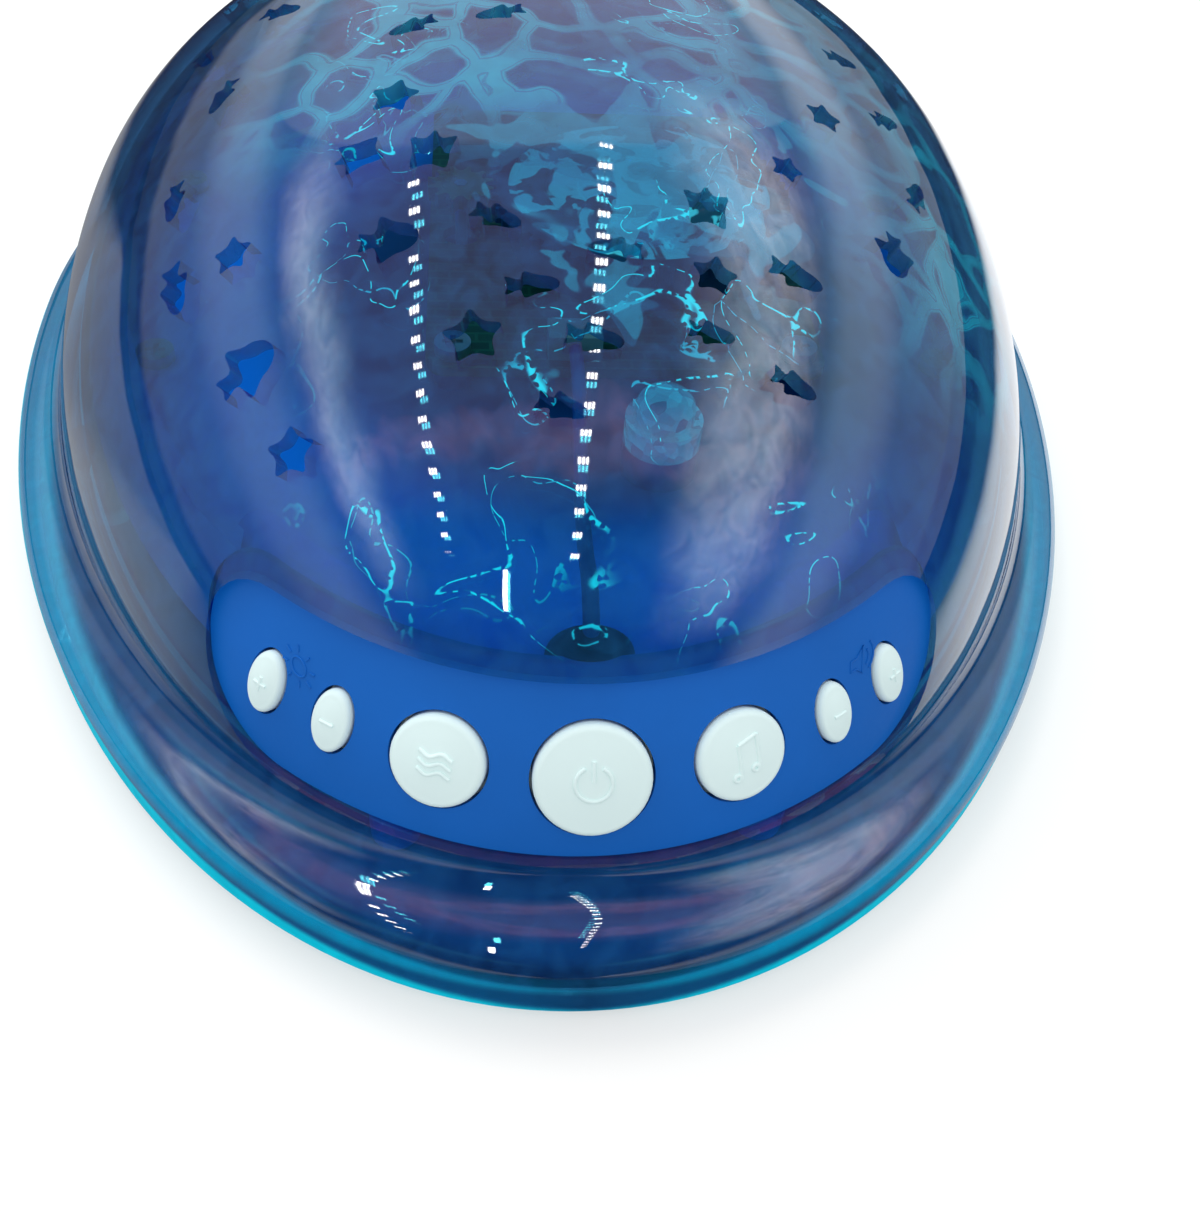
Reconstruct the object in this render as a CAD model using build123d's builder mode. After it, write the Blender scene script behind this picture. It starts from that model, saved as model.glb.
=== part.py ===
from build123d import *
import os
from math import asin, cos, degrees, pi, radians, sin, sqrt, tan

os.makedirs("parts", exist_ok=True)

# Body, measured from its widest section, which stands over the origin
half_width = 88.0
front_reach = 132.3
rear_reach = 104.0
rim_ledge = 7.2
rim_ledge_ends = 9.8
rim_rise = 7.0
foot_height = 2.0
dome_base = 6.5
dome_height = 62.9
shell_wall = 2.5
ledge_round = 2.4
foot_curve = 4.0
star_waist = 0.52

# Fits
slide_gap = 0.35
seat_gap = 0.1
running_gap = 0.04
sway_gap = 0.5

# Control panel, a rounded rectangle as seen from the front
panel_half_length = 44.5
panel_height = 18.4
panel_centre = 24.9
panel_corner = 8.6
panel_sink = 1.2
panel_wall = 2.2

# Keys, all on one level across the panel
power_key = 13.6
round_key_at = 17.3
round_key = 11.2
inner_oval_at = 29.3
outer_oval_at = 37.2
oval_width = 5.0
oval_height = 8.0
key_proud = 0.5
key_crown = 0.7
key_travel = 0.8
key_foot = 0.8
key_lip = 0.8
key_stem = 3.2
key_room = 6.2

# Key board and the frame behind the panel
key_board_wall = 0.8
frame_wall = 1.2
frame_drop = 1.8
frame_margin = -0.4
frame_leg = 6.4
frame_leg_at = 23.0
frame_leg_back = 9.0

# Base plate
base_wall = 2.5
screw_recess = 1.4
foot_width = 16.0
foot_sink = 1.0
foot_side = 50.0
foot_front = -72.0
foot_rear = 50.0

# Screws and the posts that take them
screw_shank = 2.6
screw_head = 5.4
screw_head_height = 1.8
screw_grip = 7.0
screw_slot = 0.8
boss_width = 7.0
boss_angles = (15, 72, 108, 165, 205, 335)
boss_top = 19.0
boss_inset = 5.2

# Tray inside the dome
tray_level = 22.0
tray_wall = 2.0
tray_clear = 1.2
tray_rise = 8.0
tray_rim = 2.0
tray_grip = 7.0
blind_floor = 0.8
tray_front_clear = 1.5
post_front_side = 60.0
post_front = -38.0
post_middle_side = 62.0
post_middle = 12.0
post_rear_side = 40.0
post_rear = 62.0

# Light board and what stands on it
light_board_x = 10.0
light_board_y = -6.0
light_board_width = 60.0
light_board_depth = 80.0
light_board_wall = 1.6
light_board_corner = 3.0
light_post = 3.4
light_post_width = 6.0
light_post_edge = 4.0
led_width = 5.0
led_height = 4.2
led_rim = 0.8
led_foot = 1.0
led_ring = 10.0
led_count = 4
star_led_x = 13.0
star_led_y = -62.0
star_led_size = 3.5
star_led_height = 1.2
star_lens_width = 8.4
star_lens_height = 6.0
star_holder_wall = 1.2
star_holder_height = 4.0
star_lens_flat = 1.2
plug_width = 8.0
plug_depth = 5.0
plug_height = 4.0
plug_x = 2.0
plug_edge = 4.5

# Turning wave disc over its light cup
disc_x = 14.0
disc_y = -10.0
cup_height = 6.4
cup_width = 42.0
cup_wall = 1.8
bridge_width = 5.0
bridge_height = 2.0
disc_wall = 2.2
disc_lift = 0.5
disc_ripple = 0.5
ripple_count = 3
hub_width = 6.4
hub_height = 4.6
gear_module = 0.8
disc_teeth = 60
pinion_teeth = 12
root_share = 0.33
tip_share = 0.11
tooth_reach = 0.72
gear_width = 2.4
gear_rim = 2.0
pin_width = 2.0
clip_width = 4.4
clip_height = 0.9

# Motor that turns the disc
motor_width = 20.0
motor_height = 11.0
motor_nose = 6.0
motor_nose_height = 1.4
motor_ear_reach = 14.0
motor_ear_wall = 1.4
motor_screw_end = 1.5
shaft_depth = 6.0
shaft_hole = 6.0

# Speaker, facing down
speaker_y = -56.0
speaker_width = 40.0
speaker_flange = 52.0
speaker_flange_wall = 1.5
speaker_depth = 8.0
speaker_wall = 1.0
magnet_width = 21.0
magnet_height = 4.0
coil_width = 12.0
cone_wall = 0.6
cone_rise = 2.5
speaker_stand = 1.6
speaker_rest = 2.0
speaker_grip = 1.2
slot_width = 2.0
slot_pitch = 4.4
slot_count = 7

# Main board
main_board_x = 40.0
main_board_y = -14.0
main_board_width = 28.0
main_board_depth = 48.0
main_board_lift = 4.5
main_board_wall = 1.6
board_post_edge = 4.0
board_post_width = 6.0
chip_size = 9.0
chip_height = 1.6
chip_pitch = 12.0
can_width = 6.3
can_height = 8.0

# Batteries, their bay and its door
cell_width = 14.5
cell_length = 50.5
cell_nub = 5.5
cell_nub_height = 1.2
cell_count = 3
cell_pitch = 15.3
bay_y = 43.0
bay_wall = 1.6
bay_end = 3.6
bay_roof = 1.6
door_wall = 1.8
door_edge = 3.0
door_pin = 1.2
door_pin_reach = 1.2
door_tab_width = 12.0
door_tab_depth = 6.0
door_grip = 4.0
door_sink = 0.9
contact_wall = 0.4
contact_width = 8.0
contact_bend = 0.6
contact_lift = 1.2

# Tail
tail_root_width = 30.0
tail_root_height = 20.0
tail_level = 41.0
tail_root_inside = 8.0
tail_neck_width = 15.0
tail_neck_height = 9.0
tail_neck_level = 54.0
tail_neck_at = 108.0
fluke_span = 70.0
fluke_wall = 7.0
fluke_root = 20.0
fluke_notch = 13.0
fluke_round = 2.4
tail_spigot = 9.0
washer_room = 0.6
tail_washer = 14.0
tail_washer_wall = 1.2

# Cable from the keys to the light board
cable_width = 2.0
grommet_width = 8.4
grommet_depth = 5.2
grommet_lip = 1.0
cable_turn = 3.0

# Sizes that follow from those above
dome_half = half_width - rim_ledge
dome_front = front_reach - rim_ledge_ends
dome_rear = rear_reach - rim_ledge_ends
base_top = foot_height + base_wall
shell_screw_grip = base_wall - screw_recess + screw_grip
tray_top = tray_level + tray_wall
light_board_level = tray_top + light_post
light_board_top = light_board_level + light_board_wall
disc_level = light_board_top + cup_height + disc_lift
holder_width = star_lens_width + 2 * star_holder_wall
disc_pitch = disc_teeth * gear_module / 2
pinion_pitch = pinion_teeth * gear_module / 2
pinion_x = disc_x - disc_pitch - pinion_pitch
main_board_level = base_top + main_board_lift
bay_length = cell_length / 2 + bay_end
bay_half = (cell_count - 1) * cell_pitch / 2 + cell_width / 2 + slide_gap
cell_level = foot_height + door_wall + seat_gap + cell_width / 2
bay_top = cell_level + cell_width / 2 + slide_gap
door_front = bay_y - bay_half - door_edge
door_rear = bay_y + bay_half + door_edge
hinge_y = door_front + door_wall / 2
hinge_z = foot_height + door_wall / 2
key_level = panel_centre
key_board_inset = panel_sink + key_room
frame_back = key_board_inset + key_board_wall + seat_gap + frame_wall
frame_top = panel_centre - frame_drop + panel_height / 2 + frame_margin
frame_bottom = panel_centre - frame_drop - panel_height / 2 - frame_margin


def level(z):
    return Plane.XY.offset(z)


def reach(inset):
    """Side, front and rear reach and height of the dome's surface moved in by an inset."""
    return dome_half - inset, dome_front - inset, dome_rear - inset, dome_height - inset


def dome(inset):
    """Everything under that surface: a half turn about the long axis, flattened, on an upright wall."""
    side, front, rear, tall = reach(inset)
    with BuildPart() as form:
        with BuildSketch():
            with BuildLine():
                EllipticalCenterArc((0, 0), side, rear, start_angle=0, arc_size=90)
                EllipticalCenterArc((0, 0), side, front, start_angle=270, arc_size=90)
                Line((0, -front), (0, rear))
            make_face()
        revolve(axis=Axis.Y, revolution_arc=-180)
    with BuildPart() as whole:
        add(Pos(0, 0, dome_base) * scale(form.part, by=(1, 1, tall / side)))
        with BuildSketch(level(dome_base)):
            add(oval(side, front, rear))
        extrude(amount=-2 * dome_base)
    return whole.part


def shell_form(inset, floor):
    """Dome and spread rim moved in by an inset, with a hollow curve between them."""
    ledge = foot_height + rim_rise - inset
    rim_side = half_width - inset
    with BuildPart() as band:
        with BuildSketch(level(ledge)):
            add(oval(rim_side, front_reach - inset, rear_reach - inset))
        extrude(amount=floor - ledge)
        fillet(band.faces().sort_by(Axis.Z)[-1].edges(), ledge_round)
    with BuildPart() as whole:
        add(dome(inset))
        add(band.part)
        on_ledge = whole.edges().filter_by_position(Axis.Z, ledge - seat_gap, ledge + seat_gap)
        rim_edge = rim_side - ledge_round - seat_gap
        fillet(on_ledge.filter_by(lambda edge: edge.bounding_box().max.X < rim_edge), foot_curve)
    return whole.part


def oval(side, front, rear):
    """Two half ellipses that meet across the widest section."""
    with BuildSketch() as shape:
        with BuildLine():
            EllipticalCenterArc((0, 0), side, rear, start_angle=0, arc_size=180)
            EllipticalCenterArc((0, 0), side, front, start_angle=180, arc_size=180)
        make_face()
    return shape.sketch


def front_bar(half_length, bottom, top, corner):
    """A rounded bar as seen from the front, running from the middle out to the front."""
    middle = (bottom + top) / 2
    with BuildPart() as bar:
        with BuildSketch(Plane(origin=(0, 0, middle), x_dir=(1, 0, 0), z_dir=(0, -1, 0))):
            RectangleRounded(2 * half_length, top - bottom, corner)
        extrude(amount=front_reach)
    return bar.part


def panel_bar(margin):
    """The panel's outline with a margin round it."""
    half = panel_height / 2 + margin
    reach_out = panel_half_length + margin
    return front_bar(reach_out, panel_centre - half, panel_centre + half, panel_corner + margin)


def frame_bar(margin):
    """The outline of the frame behind the panel with a margin round it."""
    return front_bar(
        panel_half_length + frame_margin + margin,
        frame_bottom - margin,
        frame_top + margin,
        panel_corner + frame_margin + margin,
    )


def dome_point(x, z, inset):
    """A point on the front of the dome's surface moved in by an inset."""
    side, front, rear, tall = reach(inset)
    return Vector(x, -front * sqrt(1 - (x / side) ** 2 - ((z - dome_base) / tall) ** 2), z)


def top_point(x, y, inset):
    """A point of that surface over a place on the floor plan."""
    side, front, rear, tall = reach(inset)
    return Vector(x, y, dome_base + tall * sqrt(1 - (x / side) ** 2 - (y / (front if y < 0 else rear)) ** 2))


def outward(point, inset):
    """The way out of that surface at a point."""
    side, front, rear, tall = reach(inset)
    deep = front if point.Y < 0 else rear
    return Vector(point.X / side**2, point.Y / deep**2, (point.Z - dome_base) / tall**2).normalized()


def ring_point(angle, inset):
    """A place at an inset from the dome's foot, at an angle round it."""
    deep = dome_front if sin(radians(angle)) < 0 else dome_rear
    x, y = dome_half * cos(radians(angle)), deep * sin(radians(angle))
    way = Vector(x / dome_half**2, y / deep**2, 0).normalized()
    return x - way.X * inset, y - way.Y * inset


def key_plane(x):
    """Plane on the panel's face at a key, its Z the way out and its Y up the panel."""
    point = dome_point(x, key_level, panel_sink)
    way = outward(point, panel_sink)
    return Plane(origin=point, x_dir=Vector(0, 0, 1).cross(way), z_dir=way)


def up(x, y, z):
    """Plane at a place whose Z points up."""
    return Plane(origin=(x, y, z))


def down(x, y, z):
    """Plane at a place whose Z points down."""
    return Plane(origin=(x, y, z), x_dir=(1, 0, 0), z_dir=(0, 0, -1))


def rod(place, width, length):
    """A round bar that starts on a plane and runs along its Z."""
    with BuildPart() as bar:
        with BuildSketch(place):
            Circle(width / 2)
        extrude(amount=length)
    return bar.part


def ring(place, width, bore, length):
    """A round bar with a hole through it."""
    with BuildPart() as tube:
        with BuildSketch(place):
            Circle(width / 2)
            Circle(bore / 2, mode=Mode.SUBTRACT)
        extrude(amount=length)
    return tube.part


def block(x, y, z, width, depth, height):
    """A block that stands on a level, centred on a place."""
    with BuildPart() as box:
        with BuildSketch(Plane(origin=(x, y, z))):
            Rectangle(width, depth)
        extrude(amount=height)
    return box.part


def screw(seat, grip):
    """A screw whose head sits behind a plane and whose shank runs along the plane's Z."""
    with BuildPart() as one:
        with BuildSketch(seat):
            Circle(screw_head / 2)
        extrude(amount=-screw_head_height)
        with BuildSketch(seat.offset(-screw_head_height)):
            Rectangle(screw_head * 0.55, screw_slot)
            Rectangle(screw_slot, screw_head * 0.55)
        extrude(amount=screw_slot, mode=Mode.SUBTRACT)
        with BuildSketch(seat):
            Circle(screw_shank / 2)
        extrude(amount=grip)
    return one.part


def group(parts):
    """Separate solids kept together in one node."""
    return Compound(children=[solid for part in parts for solid in part.solids()])


def write(part, name):
    part.label = name
    export_step(part, "parts/" + name + ".step")


def closed_shape(size, points):
    """A flat shape from its corners, given for a size of one."""
    with BuildSketch() as shape:
        with BuildLine():
            Polyline(*[(x * size, y * size) for x, y in points], close=True)
        make_face()
    return shape.sketch


def polar(reaches):
    """Corners at even angles, each at its own reach."""
    step = radians(360 / len(reaches))
    return [(far * cos(step * n), far * sin(step * n)) for n, far in enumerate(reaches)]


def star(size):
    """Five blunt points."""
    return closed_shape(size, polar([0.5, 0.5 * star_waist] * 5))


def turtle(size):
    """A round shell with a head and four flippers."""
    reaches = [0.52, 0.3, 0.54, 0.34, 0.3, 0.36, 0.5, 0.3, 0.3, 0.5, 0.36, 0.3, 0.34, 0.54, 0.3]
    return closed_shape(size, polar(reaches))


def finned(size, fin, waist, tail):
    """A fish: rounded nose, fins that reach up and down, and a tail."""
    with BuildSketch() as shape:
        with BuildLine():
            back = (-0.1 * size, fin * 0.62 * size)
            belly = (-0.1 * size, -fin * 0.62 * size)
            ThreePointArc(belly, (-0.48 * size, 0), back)
            Polyline(
                back,
                (0.16 * size, fin * size),
                (0.2 * size, waist * size),
                (0.5 * size, tail * size),
                (0.42 * size, 0),
                (0.5 * size, -tail * size),
                (0.2 * size, -waist * size),
                (0.16 * size, -fin * size),
                belly,
            )
        make_face()
    return shape.sketch


def fish(size):
    """A slim fish."""
    return finned(size, 0.3, 0.08, 0.22)


def angel_fish(size):
    """A tall fish."""
    return finned(size, 0.5, 0.1, 0.2)


# Holes that throw shapes on the ceiling: outline, place on the floor plan, size and turn
cutouts = (
    (fish, -41, -2, 7.0, 150), (fish, -53, -4, 6.5, 120), (fish, -48, -20, 6.5, 60),
    (fish, -53, -38, 6.5, 80), (star, -43, -54, 5.4, 10), (fish, -51, -54, 8.0, 95),
    (angel_fish, -40, -71, 8.0, 200), (star, -34, -83, 6.0, 5), (star, -23, -35, 6.4, 0),
    (fish, -21, -19, 6.4, 20), (fish, -9, -18, 6.4, 15), (turtle, -27, -45, 6.4, 190),
    (angel_fish, -23, -60, 7.0, 175), (turtle, -18, -47, 7.0, 80), (fish, -10, -59, 6.0, 150),
    (fish, -6, -69, 6.0, 180), (star, -13, -75, 6.8, 20), (fish, 1, -76, 6.4, 170),
    (fish, -3, -84, 5.6, 160), (fish, 4, -64, 6.2, 0), (turtle, 16, -56, 6.8, 90),
    (star, 16, -66, 5.6, 10), (fish, 15, -74, 5.4, 175), (fish, 27, -63, 7.0, 170),
    (fish, 25, -78, 5.8, 165), (star, 28, -45, 4.6, 0), (star, 36, -30, 5.6, 15),
    (fish, 43, -9, 6.4, 200), (fish, 48, -21, 6.4, 215), (angel_fish, 43, -52, 7.0, 90),
    (fish, 50, -36, 6.6, 250), (fish, 56, -2, 6.0, 250), (fish, 45, 8, 6.0, 200),
    (star, 0, 4, 6.4, 0), (fish, 20, 10, 6.4, 30), (fish, -20, 10, 6.4, 150),
    (turtle, 8, 28, 7.0, 60), (star, -12, 32, 6.0, 20), (fish, -38, 22, 6.4, 120),
    (star, 32, 30, 6.0, 10), (fish, 18, 48, 6.4, 190), (angel_fish, -24, 50, 7.0, 10),
    (star, 2, 52, 6.0, 15), (fish, -51, 14, 6.0, 100), (fish, 43, 38, 6.4, 280),
    (star, -41, 42, 6.0, 30), (fish, 56, 14, 6.0, 80),
)

# Where the tail sits, its Z the way out of the dome
tail_root_point = Vector(0, dome_rear * sqrt(1 - ((tail_level - dome_base) / dome_height) ** 2), tail_level)
tail_root = Plane(origin=tail_root_point, x_dir=(1, 0, 0), z_dir=outward(tail_root_point, 0))

# Clear coloured shell: dome, hollow curve and spread rim in one moulding, with posts for its screws
boss_places = [ring_point(angle, boss_inset) for angle in boss_angles]
with BuildPart() as dome_shell:
    add(shell_form(0, foot_height) - shell_form(shell_wall, 0))
    with BuildSketch(level(foot_height)):
        Rectangle(2 * front_reach, 2 * front_reach)
    extrude(amount=-front_reach, mode=Mode.SUBTRACT)
    with BuildSketch(level(base_top + seat_gap)):
        with Locations(boss_places):
            Circle(boss_width / 2)
    extrude(amount=boss_top - base_top)
    with BuildSketch(level(base_top)):
        with Locations(boss_places):
            Circle(screw_shank / 2 + running_gap)
    extrude(amount=screw_grip + slide_gap, mode=Mode.SUBTRACT)
    add(panel_bar(slide_gap), mode=Mode.SUBTRACT)
    for outline, x, y, size, turn in cutouts:
        point = top_point(x, y, 0)
        way = outward(point, 0)
        place = Plane(origin=point, x_dir=Vector(0, 1, 0).cross(way), z_dir=way)
        with BuildSketch(place.rotated((0, 0, turn))):
            add(outline(size))
    extrude(amount=2 * shell_wall, both=True, mode=Mode.SUBTRACT)
    with BuildSketch(tail_root):
        Circle(tail_spigot / 2 + slide_gap)
    extrude(amount=2 * shell_wall, both=True, mode=Mode.SUBTRACT)
write(dome_shell.part, "dome_shell")

# Keys: name, place across the panel, width and height
keys = (
    ("power_button", 0, power_key, power_key),
    ("wave_button", -round_key_at, round_key, round_key),
    ("music_button", round_key_at, round_key, round_key),
    ("brighter_button", -outer_oval_at, oval_width, oval_height),
    ("dimmer_button", -inner_oval_at, oval_width, oval_height),
    ("quieter_button", inner_oval_at, oval_width, oval_height),
    ("louder_button", outer_oval_at, oval_width, oval_height),
)
front_curve = dome_half**2 / dome_front


def key_outline(half_across, half_up):
    """A circle, or an oval for a key that is taller than it is wide."""
    with BuildSketch() as shape:
        if half_up > half_across:
            Ellipse(half_across, half_up)
        else:
            Circle(half_across)
    return shape.sketch


# Control panel, let into the shell, with a hole for each key
with BuildPart() as control_panel:
    add(dome(panel_sink) - dome(panel_sink + panel_wall))
    add(panel_bar(0), mode=Mode.INTERSECT)
    for name, x, width, height in keys:
        with BuildSketch(key_plane(x)):
            add(key_outline(width / 2 + slide_gap, height / 2 + slide_gap))
    extrude(amount=2 * panel_wall, both=True, mode=Mode.SUBTRACT)
write(control_panel.part, "control_panel")

# Each key: a crowned cap, a foot wider than its hole and a stem over the board
for name, x, width, height in keys:
    place = key_plane(x)
    foot_reach = width / 2 + key_lip
    foot_level = panel_wall + foot_reach**2 / (2 * front_curve) + slide_gap
    crown_radius = ((height / 2) ** 2 + key_crown**2) / (2 * key_crown)
    crown_top = key_proud + key_crown
    with BuildPart() as key:
        with BuildSketch(place.offset(-foot_level)):
            add(key_outline(width / 2, height / 2))
        extrude(amount=foot_level + crown_top)
        add(place.location * Pos(0, 0, crown_top - crown_radius) * Sphere(crown_radius), mode=Mode.INTERSECT)
        with BuildSketch(place.offset(-foot_level)):
            add(key_outline(foot_reach, height / 2 + key_lip))
        extrude(amount=-key_foot)
        with BuildSketch(place.offset(-foot_level - key_foot)):
            Circle(key_stem / 2)
        extrude(amount=-(key_room - key_travel - slide_gap - foot_level - key_foot))
    write(key.part, name)

# Curved board under the keys
with BuildPart() as key_board:
    add(dome(key_board_inset) - dome(key_board_inset + key_board_wall))
    add(frame_bar(-frame_wall - slide_gap), mode=Mode.INTERSECT)
write(key_board.part, "key_board")

# Frame behind the panel: a tray open to the front on two legs, with a hole in its top for the cable
frame_front = panel_sink + panel_wall + seat_gap
leg_y = -dome_front * sqrt(1 - (frame_leg_at / dome_half) ** 2) + frame_leg_back
leg_places = [(-frame_leg_at, leg_y), (frame_leg_at, leg_y)]
grommet_y = dome_point(0, frame_top, (frame_front + frame_back) / 2).Y
grommet_neck_across = grommet_width / 2 - grommet_lip
grommet_neck_deep = grommet_depth / 2 - grommet_lip
with BuildPart() as panel_frame:
    add(frame_bar(0))
    add(dome(frame_front), mode=Mode.INTERSECT)
    add(dome(frame_back), mode=Mode.SUBTRACT)
    with BuildSketch(level(base_top + seat_gap)):
        with Locations(leg_places):
            Circle(frame_leg / 2)
    extrude(amount=frame_bottom + frame_wall / 2 - base_top - seat_gap)
    add(frame_bar(-frame_wall) & (dome(0) - dome(frame_back - frame_wall)), mode=Mode.SUBTRACT)
    with BuildSketch(level(base_top)):
        with Locations(leg_places):
            Circle(screw_shank / 2 + running_gap)
    extrude(amount=screw_grip + slide_gap, mode=Mode.SUBTRACT)
    with BuildSketch(level(frame_top - 2 * frame_wall)):
        with Locations((0, grommet_y)):
            Ellipse(grommet_neck_across + running_gap, grommet_neck_deep + running_gap)
    extrude(amount=4 * frame_wall, mode=Mode.SUBTRACT)
write(panel_frame.part, "panel_frame")

# Rubber grommet in the frame's top
with BuildPart() as cable_grommet:
    with BuildSketch(level(frame_top + running_gap)):
        with Locations((0, grommet_y)):
            Ellipse(grommet_width / 2, grommet_depth / 2)
    extrude(amount=grommet_lip)
    with BuildSketch(level(frame_top + running_gap)):
        with Locations((0, grommet_y)):
            Ellipse(grommet_neck_across, grommet_neck_deep)
    extrude(amount=-frame_wall - running_gap)
    with BuildSketch(level(frame_top - 2 * frame_wall)):
        with Locations((0, grommet_y)):
            Circle(cable_width / 2 + running_gap)
    extrude(amount=4 * frame_wall, mode=Mode.SUBTRACT)
write(cable_grommet.part, "cable_grommet")

# Base plate: closes the foot, with the bay for the cells, posts for the tray and slots for the sound
post_places = [
    (side * x, y)
    for x, y in ((post_front_side, post_front), (post_middle_side, post_middle), (post_rear_side, post_rear))
    for side in (-1, 1)
]
foot_places = [(side * foot_side, y) for side in (-1, 1) for y in (foot_front, foot_rear)]
main_post_x = main_board_width / 2 - board_post_edge
main_post_y = main_board_depth / 2 - board_post_edge
board_post_places = [
    (main_board_x + i * main_post_x, main_board_y + j * main_post_y) for i in (-1, 1) for j in (-1, 1)
]
speaker_screw_ring = (speaker_width + speaker_flange) / 4
speaker_screw_places = [
    (speaker_screw_ring * sin(radians(turn)), speaker_y + speaker_screw_ring * cos(radians(turn)))
    for turn in (0, 120, 240)
]
base_edge = shell_wall + slide_gap
door_screw_y = door_rear + door_tab_depth / 2
with BuildPart() as base_plate:
    with BuildSketch(level(foot_height)):
        add(oval(half_width - base_edge, front_reach - base_edge, rear_reach - base_edge))
    extrude(amount=base_wall)
    with BuildSketch(level(base_top)):
        with Locations(post_places):
            Circle(boss_width / 2)
    extrude(amount=tray_level - base_top - seat_gap)
    with BuildSketch(level(base_top)):
        with Locations(board_post_places):
            Circle(board_post_width / 2)
    extrude(amount=main_board_lift - seat_gap)
    with BuildSketch(level(base_top)):
        with Locations((0, speaker_y)):
            Circle(speaker_flange / 2)
            Circle(speaker_width / 2 - speaker_rest, mode=Mode.SUBTRACT)
    extrude(amount=speaker_stand)
    with BuildSketch(level(base_top)):
        with Locations((0, bay_y)):
            Rectangle(2 * (bay_length + bay_wall), 2 * (bay_half + bay_wall))
        with Locations((0, door_screw_y)):
            Circle(boss_width / 2 + sway_gap)
    extrude(amount=bay_top + bay_roof - base_top)
    with BuildSketch(level(foot_height)):
        with Locations((0, bay_y)):
            Rectangle(2 * bay_length, 2 * bay_half)
    extrude(amount=bay_top - foot_height, mode=Mode.SUBTRACT)
    with BuildSketch(level(foot_height)):
        with Locations((0, bay_y)):
            Rectangle(2 * (bay_length + door_edge + slide_gap), 2 * (bay_half + door_edge + slide_gap))
        with Locations((0, door_screw_y)):
            Rectangle(door_tab_width + 2 * slide_gap, door_tab_depth + 2 * slide_gap)
    extrude(amount=door_wall + seat_gap, mode=Mode.SUBTRACT)
    with BuildSketch(level(foot_height)):
        with Locations((0, door_screw_y)):
            Circle(screw_shank / 2 + sway_gap)
    extrude(amount=door_wall + door_grip + slide_gap, mode=Mode.SUBTRACT)
    with BuildSketch(Plane(origin=(0, hinge_y, hinge_z), x_dir=(0, 1, 0), z_dir=(1, 0, 0))):
        Circle(door_pin / 2 + running_gap)
    extrude(amount=bay_length + door_edge + door_pin_reach + slide_gap, both=True, mode=Mode.SUBTRACT)
    with BuildSketch(level(foot_height)):
        with Locations(foot_places):
            Circle(foot_width / 2 + seat_gap)
    extrude(amount=foot_sink + seat_gap, mode=Mode.SUBTRACT)
    with BuildSketch(level(foot_height)):
        with Locations(boss_places + leg_places):
            Circle(screw_head / 2 + slide_gap)
    extrude(amount=screw_recess, mode=Mode.SUBTRACT)
    with BuildSketch(level(foot_height)):
        with Locations(boss_places + leg_places):
            Circle(screw_shank / 2 + running_gap)
    extrude(amount=base_wall, mode=Mode.SUBTRACT)
    with BuildSketch(level(tray_level)):
        with Locations(post_places):
            Circle(screw_shank / 2 + running_gap)
    extrude(amount=-tray_grip - slide_gap, mode=Mode.SUBTRACT)
    with BuildSketch(level(main_board_level)):
        with Locations(board_post_places):
            Circle(screw_shank / 2 + running_gap)
    extrude(amount=-main_board_lift, mode=Mode.SUBTRACT)
    with BuildSketch(level(base_top + speaker_stand)):
        with Locations(speaker_screw_places):
            Circle(screw_shank / 2 + running_gap)
    extrude(amount=-speaker_stand - speaker_grip, mode=Mode.SUBTRACT)
    with BuildSketch(level(foot_height)):
        for n in range(slot_count):
            x = (n - (slot_count - 1) / 2) * slot_pitch
            slot_edge = speaker_width / 2 - speaker_rest - slot_width
            with Locations((x, speaker_y)):
                SlotOverall(2 * sqrt(slot_edge**2 - x**2), slot_width, rotation=90)
    extrude(amount=base_wall, mode=Mode.SUBTRACT)
write(base_plate.part, "base_plate")

# Four rubber feet, let into the base
with BuildPart() as rubber_feet:
    with BuildSketch():
        with Locations(foot_places):
            Circle(foot_width / 2)
    extrude(amount=foot_height + foot_sink)
write(rubber_feet.part, "rubber_feet")

# Door over the cells: rounded hinge edge with a pin at each end, and a tab for its screw
with BuildPart() as battery_door:
    with BuildSketch(level(foot_height)):
        with Locations((0, (hinge_y + door_rear) / 2)):
            Rectangle(2 * (bay_length + door_edge), door_rear - hinge_y)
        with Locations((0, door_screw_y)):
            Rectangle(door_tab_width, door_tab_depth)
    extrude(amount=door_wall)
    with BuildSketch(Plane(origin=(0, hinge_y, hinge_z), x_dir=(0, 1, 0), z_dir=(1, 0, 0))):
        Circle(door_wall / 2)
    extrude(amount=bay_length + door_edge, both=True)
    with BuildSketch(Plane(origin=(0, hinge_y, hinge_z), x_dir=(0, 1, 0), z_dir=(1, 0, 0))):
        Circle(door_pin / 2)
    extrude(amount=bay_length + door_edge + door_pin_reach, both=True)
    with BuildSketch(level(foot_height)):
        with Locations((0, door_screw_y)):
            Circle(screw_head / 2 + slide_gap)
    extrude(amount=door_sink, mode=Mode.SUBTRACT)
    with BuildSketch(level(foot_height)):
        with Locations((0, door_screw_y)):
            Circle(screw_shank / 2 + running_gap)
    extrude(amount=door_wall, mode=Mode.SUBTRACT)
write(battery_door.part, "battery_door")

# Screws under the base: one for the door, six up into the shell and two into the frame's legs
write(screw(up(0, door_screw_y, foot_height + door_sink), door_wall - door_sink + door_grip), "door_screw")
seat_level = foot_height + screw_recess
write(group([screw(up(x, y, seat_level), shell_screw_grip) for x, y in boss_places]), "shell_screws")
write(group([screw(up(x, y, seat_level), shell_screw_grip) for x, y in leg_places]), "frame_screws")

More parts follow.
